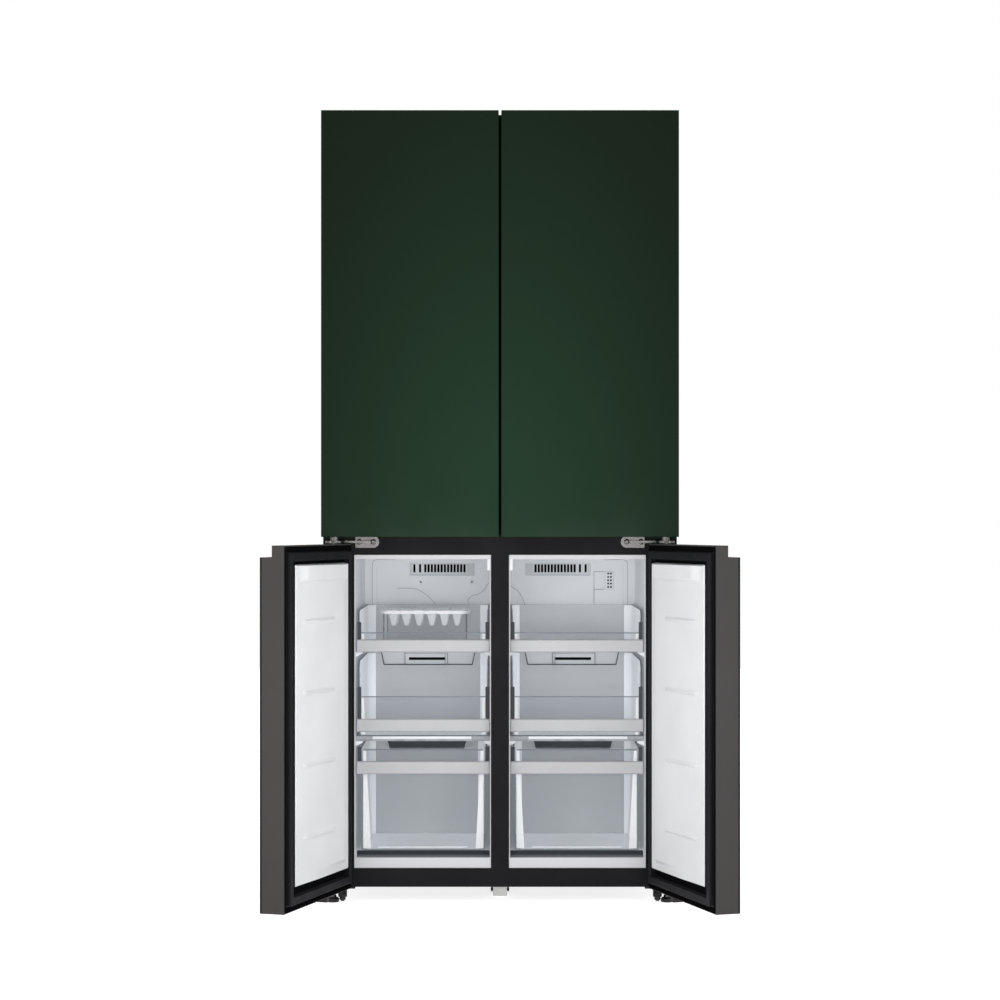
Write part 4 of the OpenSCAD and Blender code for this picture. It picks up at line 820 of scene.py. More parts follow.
@dataclass
class Door(HalfAssembly):
    """The trim of one door, drawn shut: inner frame, magnetic seal, grip lining and, on a freezer
    door, the inner face.

    Attributes:
        upper: whether it is a refrigerator door.
        x0: X of the casing's hinge side.
        x1: X of its free side.
        back: Y of the casing's inner face.
        seal_x: X at which the seal starts, at the hinge.
        seal_half: half the width of the seal.
        face_low: X and Z of a freezer door's inner face, at its lower corner by the hinge.
        face_high: X and Z of its upper free corner.
        field: X and Z of its raised field, at its lower corner by the hinge.
        flange: height of its flange, which the shut door holds clear of the front frame.
        ribs: Z of the ribs.
        rib: half thickness and height of a rib.
        bolster: Z at which the bolster starts, and its height.
    """

    upper: bool
    x0: float = -0.4175
    x1: float = -0.003
    back: float = FRONT - 0.012
    seal_x: float = -0.387
    seal_half: float = 0.0085
    face_low: Pair = (-0.3705, 0.091)
    face_high: Pair = (-0.063, 0.805)
    field: Pair = (-0.337, 0.1095)
    flange: float = 0.0106
    ribs: Sequence[float] = (0.195, 0.356, 0.517, 0.678)
    rib: Pair = (0.0034, 0.0044)
    bolster: Pair = (0.762, 0.0080)

    def __post_init__(self) -> None:
        """Work out the door's body, its height and where it stands."""
        super().__post_init__()
        self.body = f"{'upper' if self.upper else 'lower'}_{self.side.word}_door"
        self.z0, self.z1 = (0.8645, 1.86) if self.upper else (0.039, 0.848)
        if not self.upper:
            self.move = standing_open(self.side) @ self.move

    def build(self) -> None:
        """Make all the door's trim."""
        self.inner_frame()
        self.seal()
        self.grip()
        if not self.upper:
            self.inner_face()

    def inner_frame(self) -> None:
        """The dark frame round the inner liner, a flat ring between two rounded rectangles."""
        top = self.z1 - (0.026 if self.upper else 0.003)
        outer = rounded((self.x0 + 0.008, self.z0 + 0.002), (self.x1 - 0.0015, top), 0.004)
        low, free = self.z0 + 0.042, -0.046
        if not self.upper:
            low, free = self.face_low[1] + 0.001, self.face_high[0] - 0.001
        inner = rounded((-0.371, low), (free, top - 0.04), 0.006)
        rear, front = self.back - 0.0005, self.back + 0.0012
        section = ((outer, rear), (outer, front), (inner, front), (inner, rear))
        ring = np.stack([Plane.XZ.lift(outline, depth) for outline, depth in section])
        self.add(Shape().grid(ring, ring=True), "inner_frame", INNER_PAINT_AND_HOLE_SHADE, "frame_paint")

    def seal(self) -> None:
        """The seal's section carried round the door with mitred corners: a foot, two bellows folds
        and the flat magnet tube."""
        foot, fold, half = 0.0105, 0.0058, self.seal_half
        right = [(foot, 0.0), (foot, 0.0022), (fold, 0.0030), (half - 0.001, 0.0048), (fold, 0.0066),
                 (fold, 0.0074), (half, 0.0082), (half, 0.0112), (half - 0.0008, 0.0119)]
        profile = np.array(right + [(-x, y) for x, y in reversed(right)])
        low = (self.seal_x + half, self.z0 + 0.017 + half)
        high = (self.x1 - 0.010 - half, self.z1 - (0.031 if self.upper else 0.017) - half)
        ring = Shape().sweep(corners(low, high), self.back, profile, ring=True)
        seal = self.add(ring, "seal_profile", RUBBER, "seal_rubber")
        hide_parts(self.body.replace("door", "seal"))

    def inner_face(self) -> None:
        """The white inner face as one smooth height field: a flange, a raised field inside the
        opening that slants down towards the free edge, a round bolster along the top and low ribs."""
        (x0, z0), (x1, z1), (field_x, field_z) = self.face_low, self.face_high, self.field
        across, up = np.meshgrid(
            lines((x0, x0 + 0.03, 14), (x0, x1, 60), (field_x, field_x + 0.012, 9), (x1 - 0.03, x1, 14)),
            lines((z0, z0 + 0.03, 14), (z0, z1, 70), (field_z, field_z + 0.012, 9), (0.735, z1, 40),
                  (z1 - 0.006, z1, 13), *((rib - 0.012, rib + 0.012, 17) for rib in self.ribs)))
        border = np.minimum(np.minimum(across - x0, x1 - across), np.minimum(up - z0, z1 - up))
        inside = np.minimum(np.minimum(across - field_x, up - field_z) / 0.010, (z1 - up) / 0.004)
        slant = 0.0045 + 0.0135 * np.clip((x1 - across) / 0.260, 0.0, 1.0)
        height = np.minimum(slant, self.flange) * ease(border / 0.003)
        height += np.maximum(slant - self.flange, 0.0) * ease(inside)
        start, rise = self.bolster
        bolster = ease((up - start) / 0.010) * ease((z1 - 0.0005 - up) / 0.002)
        bolster *= ease((across - field_x) / 0.012) * ease((x1 - 0.010 - across) / 0.045)
        height += rise * bolster
        half, rise = self.rib
        length = ease((across + 0.272) / 0.014) * ease((-0.096 - across) / 0.014)
        for rib in self.ribs:
            height += rise * length * np.exp(-(((up - rib) / half) ** 2))
        face = np.stack([across, self.back + height, up], axis=-1)
        rear = np.stack([across, np.full_like(across, self.back), up], axis=-1)[:, ::-1]
        shell = self.add(Shape().grid(np.concatenate([face, rear], axis=1)), "inner_face", DOOR_LINER,
                         "white_liner")
        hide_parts(self.body.replace("door", "liner"))

    def grip(self) -> None:
        """The dark lining of the finger grip, a bent strip carried along the door's edge."""
        wall, front, rear = 0.0008, FRONT - 0.0598, FRONT - 0.0402
        start, floor, mouth, rear_mouth = self.x0 + 0.0052, 0.7922, 0.8216, self.z1 - 0.0006
        if self.upper:
            start, floor = self.x0 + 0.0702, self.z0 + 0.0298
            mouth = rear_mouth = self.z0 + 0.0006
        lining = floor + math.copysign(wall, mouth - floor)
        outline = np.array([(front, mouth), (front, floor), (rear, floor), (rear, rear_mouth),
                            (rear - wall, rear_mouth), (rear - wall, lining), (front + wall, lining),
                            (front + wall, mouth)])
        shape = Shape().plate(outline, (start, self.x1 - 0.0052), plane=Plane.YZ)
        self.add(shape, "grip_lining", BLACK_PLASTIC, "black_plastic")


@dataclass
class DrawerTrim(HalfAssembly):
    """The rims, post covers, frosted skins and notch bead of one freezer drawer.

    Attributes:
        level: which drawer.
        edge: radius of the rim.
        corner: distance from the drawer's front to the side walls' front edge.
        wall: thickness of the clear walls.
        skin: thickness of the frosted skins.
        turn: radius of the rear corners, seen from above.
        proud: Y of the two faces of what lies on the front, from the front.
    """

    level: Level
    edge: float = 0.0013
    corner: float = 0.004
    wall: float = 0.0025
    skin: float = 0.0005
    turn: float = 0.020
    proud: Pair = (-0.0004, -0.0001)

    def __post_init__(self) -> None:
        """Look up the drawer's body, form and box."""
        super().__post_init__()
        self.name = f"{self.side.word}_{self.level.word}"
        self.body = f"{self.name}_drawer"
        self.form = self.level.value
        self.low, self.high = self.box(f"{self.name}_bin")
        self.sides = ((self.low[0] + self.wall, 1), (self.high[0] - self.wall, -1))
        self.floor = self.low[2] + self.wall
        self.rear = self.high[1] - self.wall
        self.skin_top = self.high[2] - self.edge - 0.001

    def build(self) -> None:
        """Make all the drawer's trim."""
        self.rims()
        self.posts()
        self.skins()
        self.front_edges()
        self.back_face()
        if self.form.notch:
            self.notch()

    def rims(self) -> None:
        """A thin bead along the top of the side walls, up the front corner, round and back, and one
        along the clear front strip, paler as a painted highlight."""
        section = bead(self.edge, self.edge, self.edge * 0.6)
        path = np.vstack([self.side_edge(0.0), [(self.high[1] - 0.006, self.high[2] - self.edge)]])
        shape = Shape()
        for x in (self.low[0] + self.edge, self.high[0] - self.edge):
            shape.sweep(path, x, section, plane=Plane.YZ)
        self.add(shape, "rims", RIM, "clear_plastic")
        top = self.low[2] + self.form.front - self.edge
        path = ((self.low[0] + 0.008, top), (self.high[0] - 0.008, top))
        rim = Shape().sweep(path, self.low[1] + self.edge, section)
        # The front strip's bead carries a painted highlight.
        self.add(rim, "strip_rim", HIGHLIGHT_RIM, "clear_plastic")

    def side_edge(self, inset: float) -> np.ndarray:
        """The edge of a side wall in Y and Z, from the front wall's top round the corner.

        Args:
            inset: how far inside the edge.

        Returns:
            Points with two columns, front to back.
        """
        turn, y0 = self.form.turn, self.low[1] + self.corner + inset
        bend = arc((y0 + turn, self.high[2] - self.edge - inset - turn), turn, 180, 90, 9)
        return np.vstack([[(y0, self.low[2] + self.form.front)], bend])

    def posts(self) -> None:
        """Dark covers on the two posts that hold the clear strip."""
        low, high = self.box(f"{self.name}_rail")
        shape = Shape()
        for x in (low[0] + 0.0006, high[0] - 0.0094):
            shape.tile((x, low[2] + 0.0305), (x + 0.0088, high[2] + 0.0004), 0.0015,
                       (self.low[1] - 0.0064, self.low[1] - 0.0004), 0.0008, 4)
        self.add(shape, "posts", POST_PLASTIC, "black_plastic")

    def skins(self) -> None:
        """The frosted inner faces of the floor and the sides. A side's plan turns round into the
        back wall, leans inward at the floor and is moved along its own normal for its thickness."""
        start, turn = self.low[1] + 0.007, self.turn
        plan = np.vstack([np.column_stack([np.zeros(24), np.linspace(start, self.rear - turn, 24)]),
                          arc((turn, self.rear - turn), turn, 180, 90, 12)[1:]])
        tangent = np.gradient(plan, axis=0)
        tangent /= np.linalg.norm(tangent, axis=1)[:, None]
        normal = np.column_stack([tangent[:, 1], -tangent[:, 0]])
        top = np.minimum(np.interp(plan[:, 1], *self.side_edge(0.001).T), self.skin_top)
        lean = self.form.lean * np.clip((self.rear - turn * 0.4 - plan[:, 1]) / turn, 0.0, 1.0)
        shape = Shape()
        for x, inward in self.sides:
            columns = []
            for offset, low in ((0.0, True), (self.skin, True), (self.skin, False), (0.0, False)):
                across, along = (plan + normal * offset).T
                columns.append(np.column_stack([x + inward * (across + lean * low), along,
                                                np.where(low, self.floor, top)]))
            rows = np.stack(columns, axis=1)
            shape.grid(rows if inward > 0 else rows[:, ::-1])
        gap = self.form.lean + 0.004
        shape.tile((self.low[0] + gap, self.low[1] + 0.004), (self.high[0] - gap, self.high[1] - 0.004),
                   0.008, (self.floor, self.floor + self.skin), plane=Plane.XY)
        self.add(shape, "inner_faces", FROSTED, "white_plastic")

    def front_edges(self) -> None:
        """The pale front edges of the side walls, broader at the foot, and a bead on the floor of
        the bottom drawer."""
        bottom = self.level is Level.BOTTOM
        near, width = (0.0045 if bottom else 0.0050), 0.0065
        foot, top = self.low[2] + 0.004, self.low[2] + self.form.front - 0.003
        depths = self.low[1] + np.array(self.proud)
        shape = Shape()
        for wall, inward in self.sides:
            x = wall + inward * near
            shape.plate(np.array([(x, top), (x, foot), (x + inward * (width + self.form.lean), foot),
                                  (x + inward * width, top)]), depths)
        if bottom:
            shape.tile((self.low[0] + 0.042, self.low[2] + 0.0060),
                       (self.high[0] - 0.045, self.low[2] + 0.0085), 0.001, depths)
        self.add(shape, "front_edges", FROSTED_EDGE, "white_plastic")

    def back_face(self) -> None:
        """The hazy inner face of the back wall, cut out round the notch."""
        gap = self.wall + self.turn
        left, right = self.low[0] + gap, self.high[0] - gap
        outline = [(left, self.floor), (right, self.floor), (right, self.skin_top), (left, self.skin_top)]
        if self.form.notch:
            outline[3:3] = self.notch_edge(self.skin_top, 0.002)[::-1]
        shape = Shape().plate(np.array(outline), (self.rear - self.skin, self.rear))
        # The top drawer's back wall takes the copy with painted light.
        finish = LIT_HAZY if self.level is Level.TOP else HAZY
        self.add(shape, "back_face", finish, "clear_plastic")

    def notch_edge(self, top: float, drop: float) -> list[Pair]:
        """The edge of the notch in X and Z, from left to right.

        Args:
            top: Z of its ends.
            drop: how far its floor lies under the notch's own.

        Returns:
            Four points.
        """
        half, depth = self.form.notch
        middle, floor = (self.low[0] + self.high[0]) / 2, self.high[2] - depth - drop
        return [(middle - half - 0.001, top), (middle - half + 0.006, floor),
                (middle + half - 0.006, floor), (middle + half + 0.001, top)]

    def notch(self) -> None:
        """A dark bead along the notch in the back wall."""
        path = self.notch_edge(self.high[2], 0.001)
        shape = Shape().sweep(path, self.high[1] - 0.0024, bead(0.0013, 0.0013, 0.00078))
        self.add(shape, "notch_edge", RIM, "clear_plastic")


@dataclass
class FreezerBack(HalfAssembly):
    """What is moulded into and screwed to the evaporator cover of one compartment, the shelf's
    front before it, and a painted shadow under the bottom drawer.

    Attributes:
        face: Y of the cover's front face.
        duct: Y of the raised air duct's front.
        outlet: Y of the upper outlet's front.
        slot_x: distance of the first slot from the middle.
        slot_z: Z of the slots' foot.
        slot_height: height of the slots.
        low_z: Z of the lower outlet.
    """

    face: float = FRONT + 0.462
    duct: float = FRONT + 0.460
    outlet: float = FRONT + 0.455
    slot_x: float = 0.0905
    slot_z: float = 0.771
    slot_height: float = 0.020
    low_z: float = 0.5485

    def build(self) -> None:
        """Make the painted shade lines and the ridge, the outlets, the grille, the shelf's front and what
        lies on the sensor cover.
        """
        self.seams()
        self.upper_outlet()
        if self.side is Side.LEFT:
            self.screws()
        self.slots()
        self.lower_outlet()
        self.return_grille()
        self.shelf_front()
        if self.side is Side.RIGHT:
            self.sensor()

    def seams(self) -> None:
        """Painted shade: dark lines along the edges of the raised air duct and beside it, where the
        cover bends to the side wall, and a ridge beside them.
        """
        curves = {
            Side.LEFT: (((-0.262, 0.7302), (-0.240, 0.7302), (-0.223, 0.7296), (-0.205, 0.7245),
                         (-0.1865, 0.7128), (-0.171, 0.6972), (-0.163, 0.684), (-0.157, 0.640)),
                        ((-0.0285, 0.744), (-0.0328, 0.7388), (-0.0407, 0.7258), (-0.0538, 0.7154),
                         (-0.0694, 0.7115), (-0.0785, 0.7049), (-0.0818, 0.6972), (-0.0772, 0.684),
                         (-0.074, 0.640))),
            Side.RIGHT: (((-0.027, 0.7355), (-0.031, 0.7337), (-0.0453, 0.7232), (-0.0543, 0.7102),
                          (-0.0609, 0.6947), (-0.0645, 0.680), (-0.067, 0.640)),),
        }
        section, low = strip(0.0005, -0.0006, 0.0003), 0.560
        shape = Shape()
        for points in curves[self.side]:
            shape.sweep(spline(points), self.duct - 0.0001, section, toward=-1)
        bend = arc((-0.3125, 0.790), 0.013, 180, 90, 7)
        shape.sweep(np.vstack([[(-0.3255, low)], bend, [(-0.266, 0.803)]]), self.face, section, toward=-1)
        # Painted shade along the moulded edges.
        self.add(shape, "cover_seams", EDGE_SHADE, "cavity_liner")
        section = rounded((-0.0016, -0.001), (0.0016, 0.0012), 0.0008, 4)
        ridge = Shape().sweep(((-0.313, low), (-0.313, 0.786)), self.face, section, toward=-1)
        self.add(ridge, "cover_ridge", RIDGE, "cavity_liner")

    def upper_outlet(self) -> None:
        """The greyer field round the upper outlet, the pale rim round its slots and the pale tab
        at the corner of the opening."""
        field = Shape()
        for low, high in (((-0.2285, 0.7625), (-0.0665, 0.7670)), ((-0.2285, 0.7675), (-0.2250, 0.7930)),
                          ((-0.0835, 0.7675), (-0.0665, 0.7930))):
            field.tile(low, high, 0.0005, (self.outlet - 0.0003, self.outlet), steps=3)
        self.add(field, "outlet_field", OUTLET_GREY, "cavity_liner")
        high = (-self.slot_x + 0.0058, self.slot_z + self.slot_height + 0.0014)
        rim = Shape().sweep(corners((-0.2238, self.slot_z - 0.0022), high), self.outlet - 0.0001,
                            bead(0.0008, 0.0005, 0.0003), ring=True, toward=-1)
        rim.tile((-0.0302, 0.785), (-0.0222, 0.812), 0.002, (FRONT + 0.0040, FRONT + 0.0115), 0.0006, 4)
        self.add(rim, "outlet_rim", RIDGE, "white_plastic")

    def screws(self) -> None:
        """Countersunk screws below the outlet, each in its seat."""
        screws, seats = Shape(), Shape()
        seat = ((0.0024, 0.0), (0.0024, 0.0008), (0.0034, 0.0013), (0.0048, 0.0008), (0.0050, 0.0),
                (0.0024, 0.0))
        for x in (-0.2018, -0.0718):
            where = (x, self.duct, 0.746)
            screws.screw(where, (0, -1, 0), 0.0022, 0.0009)
            seats.revolve(seat, where, (0, -1, 0), 28)
        self.add(screws, "cover_screws", ZINC, "zinc_steel")
        self.add(seats, "cover_screw_seats", RIDGE, "cavity_liner")

    def slots(self) -> None:
        """Painted shade: dark plates in the slots of both outlets, where the openings lie in shade."""
        low, high = self.slot_z - 0.0002, self.slot_z + self.slot_height + 0.0002
        shape = Shape()
        for x in [self.slot_x + 0.0083 * i for i in range(13)] + [0.2035, 0.218]:
            shape.tile((-x - 0.0027, low), (-x + 0.0027, high), 0.0006,
                       (self.outlet - 0.0006, self.outlet), steps=3)
        shape.tile((-0.2319, self.low_z - 0.0009), (-0.1401, self.low_z + 0.0059), 0.0008,
                   (self.face - 0.0058, self.face + 0.0115), steps=3)
        self.add(shape, "slot_inserts", INNER_PAINT_AND_HOLE_SHADE, "black_plastic")

    def lower_outlet(self) -> None:
        """The lip under the lower outlet's slot, the pale frame round it and, outside it, a dark line of
        painted shade.
        """
        z = self.low_z
        bezel = Shape().tile((-0.2325, z - 0.0060), (-0.1395, z - 0.0018), 0.0006,
                             (self.face - 0.0075, self.face - 0.0056), 0.0004, 3)
        bezel.sweep(corners((-0.2395, z - 0.0125), (-0.1365, z + 0.0145)), self.face - 0.0060,
                    bead(0.0016, 0.0012, 0.0008), ring=True, toward=-1)
        self.add(bezel, "low_outlet_frame", RIDGE, "white_plastic")
        # Painted shade round the raised frame.
        line = Shape().sweep(corners((-0.2417, z - 0.0145), (-0.1343, z + 0.0165)), self.face - 0.0056,
                             bead(0.0007, 0.0007, 0.0004), ring=True, toward=-1)
        self.add(line, "low_outlet_seam", GRILLE_GREY_AND_SHADE, "black_plastic")

    def return_grille(self) -> None:
        """The bars and the grille of the return air under the shelf, and a painted shadow: the dark
        band in the gap under the bottom drawer, lighter at its foot."""
        front, sheet = self.face - 0.0015, self.face - 0.0002
        bars = Shape()
        for x in np.arange(-0.2895, -0.084, 0.008):
            bars.tile((x, 0.2995), (x + 0.0064, 0.3235), 0.0008, (front, sheet))
        self.add(bars, "return_bars", CAVITY_LINER, "cavity_liner")
        grille = Shape().tile((-0.288, 0.3235), (-0.0775, 0.364), 0.002, (front, sheet), 0.0004)
        for x in np.arange(-0.280, -0.084, 0.0065):
            grille.tile((x, 0.327), (x + 0.002, 0.360), 0.0008, (front - 0.0012, front))
        self.add(grille, "return_grille", GRILLE_GREY_AND_SHADE, "black_plastic")
        # Painted shadow: a dark plate in the gap under the bottom drawer, where the floor lies in shade.
        band = Shape().tile((-0.3415, 0.0985), (-0.0245, 0.1163), 0.002,
                            (FRONT + 0.0600, FRONT + 0.0622), 0.0005)
        self.add(band, "drawer_stop", PAINTED_SHADOW_BAND, "black_plastic")

    def shelf_front(self) -> None:
        """The raised lip along the front of the shelf, and painted shade: dark plates for the gaps under it.
        """
        low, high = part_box("freezer_shelves")
        top, front = float(high[2]), float(low[1])
        lip = Shape().tile((-0.304, top - 0.0068), (-0.068, top - 0.0006), 0.002,
                           (front - 0.0014, front - 0.0001), 0.0006, 4)
        self.add(lip, "shelf_lip", RIDGE, "white_plastic")
        # Painted shade in the gaps under the lip.
        gap_shade = Shape()
        for x0, x1 in ((-0.337, -0.305), (-0.250, -0.228), (-0.197, -0.179), (-0.145, -0.128),
                       (-0.067, -0.040)):
            gap_shade.tile((x0, top - 0.0100), (x1, top - 0.0086), 0.0005,
                      (front - 0.0006, front - 0.0001), steps=3)
        self.add(gap_shade, "shelf_gaps", GRILLE_GREY_AND_SHADE, "black_plastic")

    def sensor(self) -> None:
        """Painted shade: dark lines along the panel edges beside the sensor cover, and dark plates in its
        holes.
        """
        left, right = -0.2665, -0.2396
        seams = Shape()
        for path in (((right, 0.560), (right, 0.7725), (left, 0.7725)),
                     ((right - 0.0003, 0.7275), (left, 0.7275))):
            seams.sweep(path, self.duct, strip(0.0006, -0.0006, 0.0005), toward=-1)
        seams.build("sensor_seams", EDGE_SHADE, self.body, "cavity_liner", self.move)
        # Painted shade in the sensor cover's holes.
        hole_shade = Shape()
        for x in (-0.2825, -0.2755):
            for z in 0.7505 + 0.0085 * np.arange(-2, 3):
                hole_shade.tile((x - 0.0021, z - 0.0023), (x + 0.0021, z + 0.0023), 0.001,
                           (self.face - 0.0034, self.face - 0.0029), steps=4)
        hole_shade.build("sensor_holes", INNER_PAINT_AND_HOLE_SHADE, self.body, "black_plastic", self.move)


@dataclass
class MiddleHinge(HalfAssembly):
    """The screws of a middle hinge.

    Attributes:
        height: Z of the flange's middle.
        places: X of the screws.
    """

    height: float = 0.8525
    places: Pair = (-0.332, -0.299)

    def build(self) -> None:
        """Two large screw heads with washers on the flange."""
        washer = ((0.0, 0.0), (0.0082, 0.0), (0.0082, 0.0011), (0.0, 0.0013))
        shape = Shape()
        for x in self.places:
            shape.revolve(washer, (x, FRONT - 0.003, self.height), (0, -1, 0), 28)
            shape.screw((x, FRONT - 0.0042, self.height), (0, -1, 0), 0.0066, 0.0034)
        self.add(shape, "middle_hinge_screws", ZINC, "zinc_steel")


@dataclass
class IceMaker:
    """The lip and clips of the ice tray and the corner beads of its bin, in the left top drawer.

    Attributes:
        cups: number of cups across.
        inset: distance of the bin's beads from its box.
    """

    cups: int = 6
    inset: Pair = (0.0024, 0.0028)

    def build(self) -> None:
        """Make the lip, the clips and the beads."""
        low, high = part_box("ice_tray")
        lip = Shape().tile((low[0] + 0.010, high[2] - 0.0078), (high[0] - 0.010, high[2]), 0.0024,
                           (low[1] + 0.0001, low[1] + 0.0040), 0.0008)
        for x in np.linspace(low[0] + 0.024, high[0] - 0.024, self.cups):
            lip.tile((x - 0.0125, low[1] + 0.012), (x + 0.0125, low[1] + 0.016), 0.001,
                     (high[2] - 0.004, high[2] + 0.0008), plane=Plane.XY)
        lip.build("ice_tray_lip", WHITE_LINER, "ice_tray", "white_plastic")
        clips = Shape()
        for x in (low[0] + 0.0002, high[0] - 0.0092):
            clips.tile((x, high[2] - 0.0070), (x + 0.009, high[2] - 0.0001), 0.0015,
                       (low[1] + 0.0002, low[1] + 0.0035), 0.0006, 4)
        clips.build("ice_tray_clips", GREY_PLASTIC, "ice_tray", "pale_plastic")
        low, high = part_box("ice_bin")
        beads = Shape()
        for x in (low[0] + self.inset[0], high[0] - self.inset[0]):
            for y in (low[1] + self.inset[1], high[1] - self.inset[1]):
                beads.sweep(((x, low[2] + 0.004), (x, high[2] - 0.0005)), y, bead(0.0011, 0.0011, 0.0008))
        beads.build("ice_bin_corners", RIM, "ice_bin", "clear_plastic")


@dataclass
class FridgeTrim:
    """The trim inside the refrigerator: shelf edges, crisper edges, door bin rims and lamp cover.

    Attributes:
        lowest_shelf: Z of the lowest glass shelf's top.
        bin_tops: Z of the door bins' tops.
    """

    lowest_shelf: float = 1.122
    bin_tops: Sequence[float] = (1.080, 1.327, 1.602)

    def build(self) -> None:
        """Make all of it."""
        self.shelf_edges()
        self.lamp_cover()
        for side in Side:
            self.crisper_edge(f"crisper_{side.word}")
            self.bin_rims(side)

    def shelf_edges(self) -> None:
        """A white bar round the front edge and one along the back edge of each glass shelf."""
        low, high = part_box("fridge_shelves")
        reach = (low[0] + 0.0004, high[0] - 0.0004)
        shape = Shape()
        for top in np.linspace(self.lowest_shelf, high[2], 4):
            shape.tile((low[1] - 0.0016, top - 0.0125), (low[1] + 0.0045, top + 0.0012), 0.0020, reach,
                       0.0006, 4, Plane.YZ)
            shape.tile((high[1] - 0.0070, top - 0.0060), (high[1] + 0.0010, top + 0.0060), 0.0015, reach,
                       0.0006, 4, Plane.YZ)
        shape.build("fridge_shelf_edges", WHITE_PLASTIC, "cabinet", "white_plastic")

    def lamp_cover(self) -> None:
        """The cover of the lamp in the refrigerator's ceiling."""
        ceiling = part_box("fridge_liner")[1][2] - 0.002
        cover = Shape().tile((-0.110, -0.005), (0.110, 0.055), 0.012, (ceiling - 0.0035, ceiling - 0.0002),
                             0.0012, plane=Plane.XY)
        cover.build("fridge_lamp_cover", LAMP_COVER, "cabinet", "white_plastic")

    def crisper_edge(self, name: str) -> None:
        """A white band along the top of a crisper's front.

        Args:
            name: the crisper's node and body.
        """
        low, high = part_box(name)
        band = Shape().tile((low[0] + 0.001, high[2] - 0.020), (high[0] - 0.001, high[2] - 0.0004), 0.003,
                            (low[1] - 0.0004, low[1] - 0.0001))
        band.build(f"{name}_edge", WHITE_PLASTIC, name, "white_plastic")

    def bin_rims(self, side: Side) -> None:
        """A bead round the top of each door bin.

        Args:
            side: which half.
        """
        body = f"upper_{side.word}_door"
        low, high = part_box(f"upper_{side.word}_bins")
        path = rounded((low[0] + 0.0012, low[1] + 0.0012), (high[0] - 0.0012, high[1] - 0.0012), 0.006)
        shape = Shape()
        for top in self.bin_tops:
            shape.sweep(path, top - 0.0014, bead(0.0014, 0.0014, 0.0010), ring=True, plane=Plane.XY)
        shape.build(f"{body}_bin_rims", WHITE_PLASTIC, body, "white_plastic")


@dataclass
class RunningGear:
    """Nuts and threads of the levelling feet, and the axle ends of the centre roller.

    Attributes:
        nut: radius of a nut's corners.
        thread: the larger and the smaller radius of a thread.
        pitch: height of half a turn of it.
    """

    nut: float = 0.0088
    thread: Pair = (0.0056, 0.0050)
    pitch: float = 0.0010

    def build(self) -> None:
        """Make the nuts, threads and axle ends."""
        for side in Side:
            self.foot(f"foot_{side.word}")
        low, high = np.array(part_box("centre_roller"))
        x, (_, y, z) = high[0] + 0.0048, (low + high) / 2
        end = ((0.0, 0.0012), (0.0030, 0.0012), (0.0038, 0.0006), (0.0040, 0.0), (0.0, 0.0))
        axle = Shape()
        for turn in (-1, 1):
            axle.revolve(end, (turn * x, y, z), (turn, 0, 0), 20)
        axle.build("centre_roller_axle_ends", ZINC, "cabinet", "zinc_steel")

    def foot(self, name: str) -> None:
        """The nut of a foot and the thread over it, whose radius steps in and out with height.

        Args:
            name: the foot's node and body.
        """
        centre = np.mean(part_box(name), axis=0)[:2]
        hexagon = arc(centre, self.nut, 0, 300, 6)
        z = np.arange(0.0170, 0.0370, self.pitch)
        radii = np.where(np.arange(len(z)) % 2, *self.thread)
        thread = np.vstack([[(0.0, z[0])], np.column_stack([radii, z]), [(0.0, z[-1])]])
        shape = Shape().plate(hexagon, (0.0112, 0.0165), 0.0006, Plane.XY)
        shape.revolve(thread, (*centre, 0.0), (0, 0, 1)).build(f"{name}_nut", ZINC, name, "zinc_steel")


@dataclass
class RearTrim:
    """Screws round the back panel and the machine room cover.

    Attributes:
        radius: radius of a screw's head.
        height: height of a screw's head.
    """

    radius: float = 0.0042
    height: float = 0.0016

    def build(self) -> None:
        """Make the screws, sunk into the sheet."""
        places = [(side * 0.4090, z) for side in (-1, 1) for z in np.arange(0.30, 1.85, 0.19)]
        places += [(side * 0.4060, z) for side in (-1, 1) for z in (0.062, 0.150, 0.236)]
        places += [(x, z) for x in np.arange(-0.30, 0.31, 0.20) for z in (1.850, 0.244)]
        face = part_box("cabinet_shell")[1][1] - 0.0014
        shape = Shape()
        for x, z in places:
            shape.screw((x, face, z), (0, 1, 0), self.radius, self.height)
        shape.build("rear_screws", ZINC, "cabinet", "zinc_steel")


# Studio


